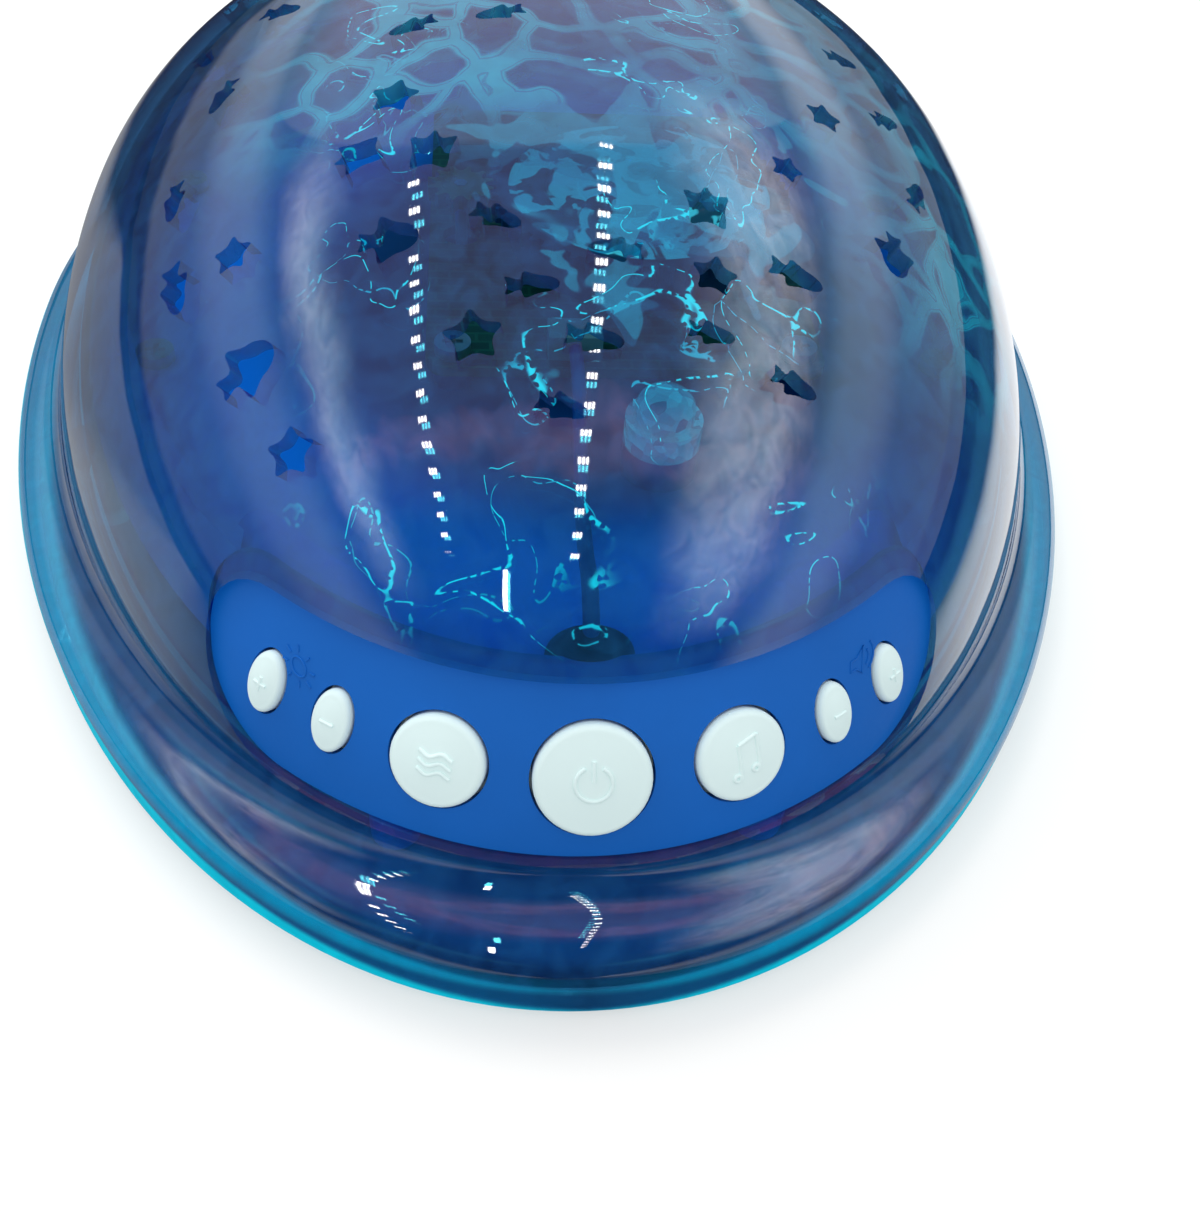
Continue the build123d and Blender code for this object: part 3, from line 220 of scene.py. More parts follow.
board = add("ShaderNodeBsdfDiffuse", Color=(0.5, 0.5, 0.5, 1))
dim = add("ShaderNodeBsdfDiffuse", Color=(0.02, 0.02, 0.03, 1))
lift_power = maths("MULTIPLY_ADD", path["Is Glossy Ray"], 0.2, 0.5)
lift = add("ShaderNodeEmission", {"Strength": lift_power}, Color=(1, 1, 0.985, 1))
lifted = add("ShaderNodeAddShader", {0: board.outputs[0], 1: lift.outputs[0]})
far_board = times(path["Is Glossy Ray"], maths("SUBTRACT", 1, near_by))
plain = add("ShaderNodeMixShader", {0: far_board, 1: board.outputs[0], 2: dim.outputs[0]})
mixed = add("ShaderNodeMixShader", {0: looked_at, 1: plain.outputs[0], 2: lifted.outputs[0]})

beneath_x, beneath_y = times(x, 11.4), times(y, 8)
beneath = maths("MULTIPLY_ADD", beneath_x, beneath_x, times(beneath_y, beneath_y))
glow_power = times(path["Is Diffuse Ray"], fade(beneath, 0.6, 0.8), 0.75)
glow_up = add("ShaderNodeEmission", {"Strength": glow_power}, Color=(1, 1, 1, 1))
mixed = add("ShaderNodeAddShader", {0: mixed.outputs[0], 1: glow_up.outputs[0]})
under = add("ShaderNodeNewGeometry").outputs["Backfacing"]
unseen = add("ShaderNodeBsdfTransparent")
open_below = add("ShaderNodeMixShader", {0: under, 1: mixed.outputs[0], 2: unseen.outputs[0]})
add("ShaderNodeOutputMaterial", {"Surface": open_below.outputs[0]})
table.data.materials.append(table_white)
table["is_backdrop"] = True


# Dome. One clear moulding in deep blue plastic: a long dome, a hollow curve at its foot and a spread
# rim, all 2.5 mm thick. Sea shapes, a slot for the panel and a hole for the tail are cut through it.
HALF, FRONT, REAR = 0.088, 0.1323, 0.104
SIDE_LEDGE, END_LEDGE = 0.0072, 0.0098
FOOT, DOME_FOOT, DOME_TALL, WALL = 0.002, 0.0065, 0.0629, 0.0025
CURVE_TOP, RIM_TOP, CURVE_REACH = 0.0155, 0.0066, 0.0109
PANEL_LEVEL, PANEL_SIDE, PANEL_RISE, PANEL_CORNER = 0.0249, 0.0359, 0.0006, 0.00895
CUT_DEPTH, SLOT_REAR, TAIL_LEVEL, TAIL_HOLE, HOLE_SCALE = 0.005, -0.095, 0.041, 0.00485, 0.00114


def dome_reach(inset):
    """How far the dome's surface runs to a side, to the front, to the rear and up, as half an egg."""
    return HALF - SIDE_LEDGE - inset, FRONT - END_LEDGE - inset, REAR - END_LEDGE - inset, DOME_TALL - inset


def dome_top(x, y, inset=0.0):
    """The dome's surface over a place on the floor plan, and the way out of it."""
    side, front, rear, tall = dome_reach(inset)
    deep = front if y < 0 else rear
    z = DOME_FOOT + tall * math.sqrt(max(0, 1 - (x / side) ** 2 - (y / deep) ** 2))
    return Vector((x, y, z)), dome_way(x, y, z, inset)


def dome_front(x, z, inset=0.0):
    """The front of the dome's surface at a width and a height, and the way out of it."""
    side, front, rear, tall = dome_reach(inset)
    y = -front * math.sqrt(1 - (x / side) ** 2 - ((z - DOME_FOOT) / tall) ** 2)
    return Vector((x, y, z)), dome_way(x, y, z, inset)


def dome_way(x, y, z, inset=0.0):
    """The way out of the dome's surface at a point of it."""
    side, front, rear, tall = dome_reach(inset)
    deep = front if y < 0 else rear
    return Vector((x / side**2, y / deep**2, (z - DOME_FOOT) / tall**2)).normalized()


def bend(start, lead, follow, end, count):
    """Points along a cubic curve from start to end, drawn towards the two between them."""
    t = np.linspace(0, 1, count)[:, None, None]
    return (1 - t) ** 3 * start + 3 * (1 - t) ** 2 * t * lead + 3 * (1 - t) * t * t * follow + t**3 * end


def shell_side(inset, turns):
    """Rings of points from near the dome's top down its side, out along the hollow curve at its foot,
    over the rim's round edge and down to its bottom. The curve slopes less within 20 degrees of the
    front."""
    side, front, rear, tall = dome_reach(inset)
    cos_t, sin_t = np.cos(turns), np.sin(turns)
    foot = np.stack([side * cos_t, np.where(sin_t < 0, front, rear) * sin_t], 1)
    rim = np.stack([(HALF - inset) * cos_t, np.where(sin_t < 0, FRONT - inset, REAR - inset) * sin_t], 1)
    start = math.asin((CURVE_TOP - inset - DOME_FOOT) / tall)
    base = foot * math.cos(start)
    reach = np.linalg.norm(rim - base, axis=1)
    step = (rim - base) / reach[:, None]
    near_top, side_rings, hollow_rings, edge_rings = math.radians(88.6), 84, 34, 26
    front_slope, side_slope, front_span = 7, 21, 20
    middle_out, front_drop, side_drop = 0.005, 0.0035, 0.0044
    foot_lead, hollow_lead, edge_lead, rim_lead = (0.00035, 0.0019), 0.003, 0.0032, (0, 0.0026)
    rings = []
    for lift in np.linspace(near_top, start, side_rings)[:-1]:
        rings.append((foot * math.cos(lift), np.full(len(turns), DOME_FOOT + tall * math.sin(lift))))
    turn_off = np.minimum(1, np.degrees(np.arccos(np.clip(-sin_t, -1, 1))) / front_span)
    slope = np.radians(front_slope + (side_slope - front_slope) * turn_off)
    share = reach / CURVE_REACH
    flat = np.stack([np.cos(slope), np.sin(slope)], 1) * share[:, None]
    zero = np.zeros_like(reach)
    top = np.stack([zero, zero], 1)
    middle = np.stack([middle_out * share, front_drop + (side_drop - front_drop) * turn_off], 1)
    bottom = np.stack([reach, zero + CURVE_TOP - RIM_TOP], 1)
    hollow = bend(top, top + foot_lead, middle - flat * hollow_lead, middle, hollow_rings)
    edge = bend(middle, middle + flat * edge_lead, bottom - rim_lead, bottom, edge_rings)[1:]
    for out, drop in [(ring[:, 0], ring[:, 1]) for ring in np.concatenate([hollow, edge])]:
        rings.append((base + step * out[:, None], CURVE_TOP - inset - drop))
    rings.append((rim, np.full(len(turns), (FOOT + RIM_TOP - inset) / 2)))
    rings.append((rim, np.full(len(turns), FOOT)))
    return [np.column_stack([plan, z]) for plan, z in rings]


def mesh_piece(name, points, faces, materials=(), smooth=40):
    """A new object from points and faces, shaded smooth except over sharp edges."""
    mesh = bpy.data.meshes.new(name)
    mesh.from_pydata([tuple(p) for p in points], [], [tuple(f) for f in faces])
    mesh.update()
    for material in materials:
        mesh.materials.append(material)
    if smooth:
        mesh.shade_smooth()
        mesh.set_sharp_from_angle(angle=math.radians(smooth))
    piece = bpy.data.objects.new(name, mesh)
    bpy.context.scene.collection.objects.link(piece)
    return piece


def rounded(corners, times=2, cut_off=0.2):
    """A closed outline with its corners cut off again and again until they are soft."""
    for _ in range(times):
        corners = [
            (a[0] + (b[0] - a[0]) * share, a[1] + (b[1] - a[1]) * share)
            for a, b in zip(corners, corners[1:] + corners[:1]) for share in (cut_off, 1 - cut_off)
        ]
    return corners


def prism(outline, place, way, x_way, low, high):
    """Points and faces of a straight-sided block with that outline, along a direction."""
    y_way = way.cross(x_way)
    turn = sum(a[0] * b[1] - b[0] * a[1] for a, b in zip(outline, outline[1:] + outline[:1]))
    flat = [place + x_way * u + y_way * v for u, v in (outline if turn > 0 else outline[::-1])]
    count = len(flat)
    points = [p + way * low for p in flat] + [p + way * high for p in flat]
    faces = [(n, (n + 1) % count, count + (n + 1) % count, count + n) for n in range(count)]
    return points, faces + [tuple(reversed(range(count))), tuple(range(count, 2 * count))]


def merged(blocks):
    """The points and faces of many blocks as one list of each."""
    points, faces = [], []
    for block_points, block_faces in blocks:
        faces += [tuple(i + len(points) for i in face) for face in block_faces]
        points += list(block_points)
    return points, faces


def ring_of(radius, count):
    """The corners of a circle."""
    return [(radius * math.cos(math.tau * n / count), radius * math.sin(math.tau * n / count)) for n in range(count)]


def polar(reaches):
    """An outline from its distances from the middle, evenly spaced round it."""
    step = math.tau / len(reaches)
    return [(far * math.cos(step * n), far * math.sin(step * n)) for n, far in enumerate(reaches)]


def finned(fin, waist, tail):
    """A fish's outline: a round nose, two fins, a waist and a forked tail."""
    nose = [(-0.1 - 0.38 * math.sin(a), -fin * 0.62 * math.cos(a)) for a in np.linspace(0, math.pi, 7)]
    return nose + [(0.16, fin), (0.2, waist), (0.5, tail), (0.42, 0), (0.5, -tail), (0.2, -waist), (0.16, -fin)]


star = polar([0.52, 0.28] * 5)
turtle = polar([0.52, 0.3, 0.54, 0.34, 0.3, 0.36, 0.5, 0.3, 0.3, 0.5, 0.36, 0.3, 0.34, 0.54, 0.3])
fish = finned(0.3, 0.08, 0.22)
angel_fish = finned(0.5, 0.1, 0.2)
# Each cut-out's shape, its millimetres to the right of the middle and behind it, its size and its turn.
cutouts = (
    (fish, -41, -2, 7.0, 150), (fish, -53, -4, 6.5, 120), (fish, -48, -20, 6.5, 60),
    (fish, -53, -38, 6.5, 80), (star, -43, -54, 5.4, 10), (fish, -51, -54, 8.0, 95),
    (angel_fish, -40, -71, 8.0, 200), (star, -34, -83, 6.0, 5), (star, -23, -35, 6.4, 0),
    (fish, -21, -19, 6.4, 20), (fish, -9, -18, 6.4, 15), (turtle, -27, -45, 6.4, 190),
    (angel_fish, -23, -60, 7.0, 175), (turtle, -18, -47, 7.0, 80), (fish, -10, -59, 6.0, 150),
    (fish, -6, -69, 6.0, 180), (star, -13, -75, 6.8, 20), (fish, 1, -76, 6.4, 170),
    (fish, -3, -84, 5.6, 160), (fish, 4, -64, 6.2, 0), (turtle, 16, -56, 6.8, 90),
    (star, 16, -66, 5.6, 10), (fish, 15, -74, 5.4, 175), (fish, 27, -63, 7.0, 170),
    (fish, 25, -78, 5.8, 165), (star, 28, -45, 4.6, 0), (star, 36, -30, 5.6, 15),
    (fish, 43, -9, 6.4, 200), (fish, 48, -21, 6.4, 215), (angel_fish, 43, -52, 7.0, 90),
    (fish, 50, -36, 6.6, 250), (fish, 56, -2, 6.0, 250), (fish, 45, 8, 6.0, 200),
    (star, 0, 4, 6.4, 0), (fish, 20, 10, 6.4, 30), (fish, -20, 10, 6.4, 150),
    (turtle, 8, 28, 7.0, 60), (star, -12, 32, 6.0, 20), (fish, -38, 22, 6.4, 120),
    (star, 32, 30, 6.0, 10), (fish, 18, 48, 6.4, 190), (angel_fish, -24, 50, 7.0, 10),
    (star, 2, 52, 6.0, 15), (fish, -51, 14, 6.0, 100), (fish, 43, 38, 6.4, 280),
    (star, -41, 42, 6.0, 30), (fish, 56, 14, 6.0, 80),
)


def clear_blue(name, milk, edge_on, body, grazing_gloss):
    """Deep blue clear plastic. Light goes straight through it, tinted deeper where it is seen edge-on,
    with a little cloudy milk in it and a mirror gloss. Painted light lies on it: the projector's light is
    painted as a net, a torn patch and beaded glint lines, and a painted glow runs along its lower edge."""
    made = bpy.data.materials.new(name)
    add, maths, times, ramp, fade = tree_of(made)
    place = add("ShaderNodeTexCoord").outputs["Object"]
    x, y, z = add("ShaderNodeSeparateXYZ", {0: place}).outputs
    from_middle = maths("ABSOLUTE", x)

    def noise(scale, detail, distortion=0.0):
        made_noise = add("ShaderNodeTexNoise", {"Vector": place}, Scale=scale, Detail=detail, Distortion=distortion)
        return made_noise.outputs["Fac"]

    def close_to(value, level, inner, outer):
        """1 where a value is close to a level."""
        return fade(maths("ABSOLUTE", maths("SUBTRACT", value, level)), inner, outer)

    facing = add("ShaderNodeLayerWeight", Blend=0.5).outputs["Facing"]
    deep = maths("MAXIMUM", maths("POWER", facing, 1.9), times(fade(z, 0.0055, 0.008), 0.8))
    tint = add("ShaderNodeMix", {"Factor": deep}, {"data_type": "RGBA"})
    tint.inputs["A"].default_value = (0.33, 0.83, 0.92, 1)
    tint.inputs["B"].default_value = edge_on
    clear = add("ShaderNodeBsdfTransparent", {"Color": tint.outputs["Result"]})

    # Painted light: a net of cyan light, standing in for the projector's ripples, painted over the rear and the
    # right flank.
    sway = add("ShaderNodeTexNoise", {"Vector": place}, Scale=70, Detail=1.5).outputs["Color"]
    pulled = add("ShaderNodeVectorMath", {0: sway, 2: place}, {"operation": "MULTIPLY_ADD"})
    pulled.inputs[1].default_value = (0.017, 0.017, 0.017)
    cells = add("ShaderNodeTexVoronoi", {"Vector": pulled.outputs[0]}, {"feature": "DISTANCE_TO_EDGE"}, Scale=78)
    gap = cells.outputs["Distance"]
    core = close_to(gap, 0.065, 0.004, 0.014)
    contour = times(fade(gap, 0.08, 0.13), maths("MULTIPLY_ADD", core, -0.4, 1))
    rear = times(ramp(y, -0.05, -0.034), ramp(x, -0.052, -0.036))
    flank = times(ramp(x, 0.028, 0.042), ramp(y, -0.078, -0.052))
    strength = maths("MULTIPLY_ADD", ramp(noise(30, 1.0), 0.36, 0.6), 0.35, 0.2)
    where = times(maths("MAXIMUM", rear, flank), ramp(z, 0.02, 0.036))
    net = times(maths("MULTIPLY_ADD", contour, strength, 0.13), where)

    # Painted glints: beaded cyan lines near the top.
    near_top = times(ramp(z, 0.034, 0.04), fade(from_middle, 0.026, 0.038))
    loops, scattered, beads = noise(88, 1.5, 0.6), noise(42, 0.0), noise(1300, 0.0)
    line = times(close_to(loops, 0.57, 0.002, 0.008), near_top, ramp(scattered, 0.38, 0.44), ramp(beads, 0.38, 0.5))

    # Painted light: a torn cyan patch ahead of the middle.
    aside, ahead_of = maths("MULTIPLY_ADD", x, 62, -0.4), maths("MULTIPLY_ADD", y, 58, 2.9)
    spread = maths("SQRT", maths("MULTIPLY_ADD", aside, aside, times(ahead_of, ahead_of)))
    torn = maths("MULTIPLY_ADD", spread, -0.2, noise(75, 2.0, 0.8))
    patch = times(ramp(torn, 0.33, 0.345), 0.42)
    pattern = maths("MAXIMUM", maths("MAXIMUM", net, patch), line, clamp=True)

    # Painted glow: the lower edge is painted cyan and made to glow, in place of light gathered in the rim.
    low_edge = maths("MULTIPLY_ADD", from_middle, 0.08, 0.0022)
    glow = fade(maths("SUBTRACT", z, low_edge), -0.0012, 0.001)
    bright = maths("MAXIMUM", pattern, glow)
    # Where the painted light lies, the milk turns light cyan, and the emission below is a painted glow.
    inside = add("ShaderNodeMix", {"Factor": bright}, {"data_type": "RGBA"})
    inside.inputs["A"].default_value = body
    inside.inputs["B"].default_value = (0.008, 0.46, 0.62, 1)
    milky = add("ShaderNodeBsdfDiffuse", {"Color": inside.outputs["Result"]})
    cloud = maths("MULTIPLY_ADD", ramp(noise(240, 5.0, 0.8), 0.3, 0.7), milk, milk * 0.5)
    share = maths("MULTIPLY_ADD", bright, 0.7, cloud, clamp=True)
    own_light = maths("MULTIPLY_ADD", line, 0.4, times(glow, 0.3))
    piped = add("ShaderNodeEmission", {"Strength": own_light}, Color=(0, 0.8, 1, 1))
    milky = add("ShaderNodeAddShader", {0: milky.outputs[0], 1: piped.outputs[0]})
    filled = add("ShaderNodeMixShader", {0: share, 1: clear.outputs[0], 2: milky.outputs[0]})

    swell = add("ShaderNodeBump", {"Height": noise(34, 2.0)}, Strength=0.06, Distance=0.004)
    gloss = add("ShaderNodeBsdfGlossy", {"Normal": swell.outputs[0]}, Color=(1, 1, 1, 1), Roughness=0.02)
    mirror = maths("MULTIPLY_ADD", maths("POWER", facing, 3.4), grazing_gloss, 0.065)
    mirror = times(mirror, maths("MULTIPLY_ADD", glow, -0.85, 1))
    surface = add("ShaderNodeMixShader", {0: mirror, 1: filled.outputs[0], 2: gloss.outputs[0]})
    add("ShaderNodeOutputMaterial", {"Surface": surface.outputs[0]})
    return made


turns = np.arange(240) * math.tau / 240
outside, inside = shell_side(0.0, turns), shell_side(WALL, turns)
rings = outside + inside[::-1]
points = [(0, 0, DOME_FOOT + DOME_TALL)] + [tuple(p) for ring in rings for p in ring]
points.append((0, 0, DOME_FOOT + DOME_TALL - WALL))
count = len(turns)
faces = [(0, 1 + n, 1 + (n + 1) % count) for n in range(count)]
for r in range(len(rings) - 1):
    a, b = 1 + r * count, 1 + (r + 1) * count
    faces += [(a + n, b + n, b + (n + 1) % count, a + (n + 1) % count) for n in range(count)]
last = 1 + (len(rings) - 1) * count
faces += [(last + n, len(points) - 1, last + (n + 1) % count) for n in range(count)]
shell_plastic = clear_blue("clear_blue_plastic", 0.14, (0.006, 0.055, 0.25, 1), (0.02, 0.17, 0.46, 1), 0.82)
# The cut-outs' walls and the panel slot's walls take a pinkish-purple milk and a pale edge-on tint, a painted
# reflection of the halo round them.
cut_edge = clear_blue("cut_edge", 0.16, (0.42, 0.42, 0.7, 1), (0.12, 0.04, 0.09, 1), 0.12)
slot_edge = clear_blue("slot_edge", 0.1, (0.5, 0.6, 0.9, 1), (0.2, 0.07, 0.22, 1), 0.15)
dome = mesh_piece("dome_shell_clear", points, faces, [shell_plastic, cut_edge, slot_edge], smooth=0)

blocks = []
for outline, x, y, size, turn in cutouts:
    place, way = dome_top(x / 1000, y / 1000)
    x_way = Matrix.Rotation(math.radians(turn), 3, way) @ Vector((0, 1, 0)).cross(way).normalized()
    shape = [(u * size * HOLE_SCALE, v * size * HOLE_SCALE) for u, v in rounded(outline)]
    blocks.append(prism(shape, place, way, x_way, -CUT_DEPTH, CUT_DEPTH))
bar = []
for side, rise, start in ((1, 1, 0), (-1, 1, 90), (-1, -1, 180), (1, -1, 270)):
    bar += [
        (side * PANEL_SIDE + PANEL_CORNER * math.cos(math.radians(start + a)),
         rise * PANEL_RISE + PANEL_CORNER * math.sin(math.radians(start + a)))
        for a in range(0, 91, 10)
    ]
blocks.append(prism(bar, Vector((0, -0.14, PANEL_LEVEL)), Vector((0, 1, 0)), Vector((1, 0, 0)), 0, 0.08))
tail_y = dome_reach(0)[2] * math.sqrt(1 - ((TAIL_LEVEL - DOME_FOOT) / DOME_TALL) ** 2)
tail_spot, tail_way = Vector((0, tail_y, TAIL_LEVEL)), dome_way(0, tail_y, TAIL_LEVEL)
blocks.append(prism(ring_of(TAIL_HOLE, 32), tail_spot, tail_way, Vector((1, 0, 0)), -CUT_DEPTH, CUT_DEPTH))
cutter = mesh_piece("cutter", *merged(blocks), materials=[shell_plastic, cut_edge, slot_edge], smooth=0)
for polygon in cutter.data.polygons:
    polygon.material_index = 2 if polygon.center.y < SLOT_REAR else 1
cut = dome.modifiers.new("cut", "BOOLEAN")
cut.object, cut.operation, cut.solver = cutter, "DIFFERENCE", "MANIFOLD"
bpy.context.view_layer.update()
cut_mesh = bpy.data.meshes.new_from_object(dome.evaluated_get(bpy.context.evaluated_depsgraph_get()))
dome.modifiers.clear()
dome.data = cut_mesh
bpy.data.objects.remove(cutter)
cut_mesh.shade_smooth()
cut_mesh.set_sharp_from_angle(angle=math.radians(38))
# The surface's own directions go back on, because the cut leaves small dents in the shading.
ways = [Vector(corner.vector) for corner in cut_mesh.corner_normals]
for polygon in cut_mesh.polygons:
    for loop in polygon.loop_indices:
        x, y, z = cut_mesh.vertices[cut_mesh.loops[loop].vertex_index].co
        for inset, sign in ((0.0, 1), (WALL, -1)):
            side, front, rear, tall = dome_reach(inset)
            off = (x / side) ** 2 + (y / (front if y < 0 else rear)) ** 2 + ((z - DOME_FOOT) / tall) ** 2 - 1
            way = dome_way(x, y, z, inset) * sign
            if abs(off) < 1e-3 and polygon.normal.dot(way) > 0.9:
                ways[loop] = way
cut_mesh.normals_split_custom_set(ways)
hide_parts("dome_shell")

# Screw posts. Six round posts inside the dome's foot, moulded with it, each bored from below for the
# screw that holds the base plate.
post_tree = bpy.data.node_groups.new("screw_posts", "GeometryNodeTree")
face = post_tree.interface
face.new_socket("Places", in_out="INPUT", socket_type="NodeSocketGeometry")
post_sizes = (("Radius", 0.0035), ("Bore", 0.00125), ("Foot", 0.0046), ("Height", 0.0144), ("Bore Depth", 0.0094))
for name, value in post_sizes:
    face.new_socket(name, in_out="INPUT", socket_type="NodeSocketFloat").default_value = value
face.new_socket("Plastic", in_out="INPUT", socket_type="NodeSocketMaterial")
face.new_socket("Posts", in_out="OUTPUT", socket_type="NodeSocketGeometry")
given = post_tree.nodes.new("NodeGroupInput").outputs


def post_node(kind, links, **values):
    node = post_tree.nodes.new(kind)
    for key, value in values.items():
        setattr(node, key, value)
    for key, socket in links.items():
        post_tree.links.new(node.inputs[key], socket)
    return node


def half(socket, base):
    """Half of a length, on top of another."""
    node = post_node("ShaderNodeMath", {0: socket}, operation="MULTIPLY_ADD")
    node.inputs[1].default_value = 0.5
    post_tree.links.new(node.inputs[2], base)
    return node.outputs[0]


solids = []
for reach, tall in (("Radius", "Height"), ("Bore", "Bore Depth")):
    solid = post_node("GeometryNodeMeshCylinder", {"Radius": given[reach], "Depth": given[tall]})
    solid.inputs["Vertices"].default_value = 40
    lift = post_node("ShaderNodeCombineXYZ", {"Z": half(given[tall], given["Foot"])})
    lifted = {"Geometry": solid.outputs["Mesh"], "Translation": lift.outputs[0]}
    solids.append(post_node("GeometryNodeTransform", lifted))
bored = post_node("GeometryNodeMeshBoolean", {"Mesh 1": solids[0].outputs[0]}, operation="DIFFERENCE")
post_tree.links.new(bored.inputs["Mesh 2"], solids[1].outputs[0])
placed = post_node("GeometryNodeInstanceOnPoints", {"Points": given["Places"], "Instance": bored.outputs["Mesh"]})
real = post_node("GeometryNodeRealizeInstances", {"Geometry": placed.outputs[0]})
coated = post_node("GeometryNodeSetMaterial", {"Geometry": real.outputs[0], "Material": given["Plastic"]})
post_node("NodeGroupOutput", {"Posts": coated.outputs[0]})
spots = [
    (side * x, y, 0) for x, y in ((0.07298, 0.02322), (0.02313, 0.08473), (0.06826, -0.05024)) for side in (1, -1)
]
posts = mesh_piece("shell_posts", spots, [], smooth=0)
grown = posts.modifiers.new("posts", "NODES")
grown.node_group = post_tree
for item in face.items_tree:
    if item.name == "Plastic":
        grown[item.identifier] = shell_plastic
bpy.context.view_layer.update()
post_mesh = bpy.data.meshes.new_from_object(posts.evaluated_get(bpy.context.evaluated_depsgraph_get()))
posts.modifiers.clear()
posts.data = post_mesh
post_mesh.shade_smooth()
post_mesh.set_sharp_from_angle(angle=math.radians(40))
for piece in (dome, posts):
    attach(piece, "housing")


def moulded(
    name, colour, rough, grain=900, depth=0.00002, uneven=0.05, metal=0.0, coat=0.0, shine=0.5, dark_middle=False
):
    """A plain moulded or pressed finish: a faint drift in its colour and its gloss, and a fine grain. With
    a painted shade middle, its colour is darkened over the middle of the body: painted shade, as under the light
    parts."""
    made = bpy.data.materials.new(name)
    add, maths, times, ramp, fade = tree_of(made)
    place = add("ShaderNodeTexCoord").outputs["Object"]
    drift = add("ShaderNodeTexNoise", {"Vector": place}, Scale=45, Detail=4.0)
    fine = add("ShaderNodeTexNoise", {"Vector": place}, Scale=grain, Detail=3.0)
    shade = add("ShaderNodeMix", {"Factor": ramp(drift.outputs["Fac"], 0.3, 0.7)}, {"data_type": "RGBA"})
    shade.inputs["A"].default_value = (*[c * (1 - uneven) for c in colour], 1)
    shade.inputs["B"].default_value = (*[min(1, c * (1 + uneven)) for c in colour], 1)
    if dark_middle:
        # Painted shade: the colour falls to a fifth of itself over the middle of the body.
        x, y, _ = add("ShaderNodeSeparateXYZ", {0: place}).outputs
        off_x, off_y = maths("MULTIPLY_ADD", x, 18.5, -0.15), maths("MULTIPLY_ADD", y, 17, 0.34)
        off = ramp(maths("SQRT", maths("MULTIPLY_ADD", off_x, off_x, times(off_y, off_y))), 0.7, 1.12)
        shade = add("ShaderNodeMix", {"Factor": off, "B": shade.outputs["Result"]}, {"data_type": "RGBA"})
        shade.inputs["A"].default_value = (*[c * 0.2 for c in colour], 1)
    gloss = maths("MULTIPLY_ADD", fine.outputs["Fac"], 0.16, rough - 0.08)
    bump = add("ShaderNodeBump", {"Height": fine.outputs["Fac"]}, Strength=0.5, Distance=depth)
    plain = add(
        "ShaderNodeBsdfPrincipled",
        {"Base Color": shade.outputs["Result"], "Roughness": gloss, "Normal": bump.outputs[0]},
        Metallic=metal, Coat_Weight=coat, Specular_IOR_Level=shine,
    )
    add("ShaderNodeOutputMaterial", {"Surface": plain.outputs[0]})
    return made


def dress(material, *names):
    """CAD nodes keep their shape and take a finish."""
    for name in names:
        for held in nodes[name].material_slots:
            held.material = material


# Panel. A separate moulding in solid mid blue, let into the dome's front behind a fine gap and held by
# the frame behind it, with a raised sun by its left-hand keys and a loudspeaker by its right-hand ones.
PANEL_INSET, MARK_SIDE, MARK_LEVEL, MARK_WIDTH = 0.0012, 0.0331, 0.0283, 0.00028
panel_blue = moulded("panel_blue", (0.003, 0.128, 0.53), 0.5, grain=1500, shine=0.2)
dress(panel_blue, "control_panel")


def turned(outline_rings, name, material):
    """A closed piece from rings of points, each ring round the last."""
    count = len(outline_rings[0])
    points = [p for ring in outline_rings for p in ring]
    faces = [tuple(range(count))]
    for r in range(len(outline_rings) - 1):
        a, b = r * count, (r + 1) * count
        faces += [(a + n, b + n, b + (n + 1) % count, a + (n + 1) % count) for n in range(count)]
    faces.append(tuple(reversed(range(len(points) - count, len(points)))))
    return closed_piece(name, points, faces, material, 50)


def closed_piece(name, points, faces, material, smooth):
    """A new object with the normals of its closed parts turned outward."""
    piece = mesh_piece(name, points, faces, [material], smooth)
    shape = bmesh.new()
    shape.from_mesh(piece.data)
    bmesh.ops.recalc_face_normals(shape, faces=shape.faces)
    shape.to_mesh(piece.data)
    shape.free()
    return piece


def relief(name, strokes, on_surface, width, material):
    """Rounded ridges along flat strokes, laid on a curved surface and joined in one piece."""
    blocks, sides = [], 12
    for stroke in strokes:
        closed = stroke[0] == stroke[-1]
        line = stroke[:-1] if closed else stroke
        spots = [on_surface(u, v) for u, v in line]
        count, points = len(spots), []
        for n, (spot, way) in enumerate(spots):
            before = spots[n - 1][0] if n or closed else spot
            after = spots[(n + 1) % count][0] if n < count - 1 or closed else spot
            side = (after - before).normalized().cross(way)
            points += [
                spot + side * width / 2 * math.cos(a) + way * width * 0.55 * math.sin(a)
                for a in np.linspace(0, math.tau, sides + 1)[:-1]
            ]
        faces = []
        for n in range(count if closed else count - 1):
            a, b = n * sides, (n + 1) % count * sides
            faces += [(a + k, a + (k + 1) % sides, b + (k + 1) % sides, b + k) for k in range(sides)]
        if not closed:
            faces += [tuple(reversed(range(sides))), tuple(range(len(points) - sides, len(points)))]
        blocks.append((points, faces))
    return closed_piece(name, *merged(blocks), material, 60)


def arc(x, y, radius, start, end, count=20):
    return [
        (x + radius * math.cos(math.radians(a)), y + radius * math.sin(math.radians(a)))
        for a in np.linspace(start, end, count)
    ]


def circle(x, y, radius, count=24):
    ring = arc(x, y, radius, 0, 360, count + 1)
    return ring[:-1] + ring[:1]


def panel_spot(middle_x, middle_z):
    """Places on the panel's face round a point of it."""
    def spot(u, v):
        return dome_front(middle_x + u, middle_z + v, PANEL_INSET)
    return spot


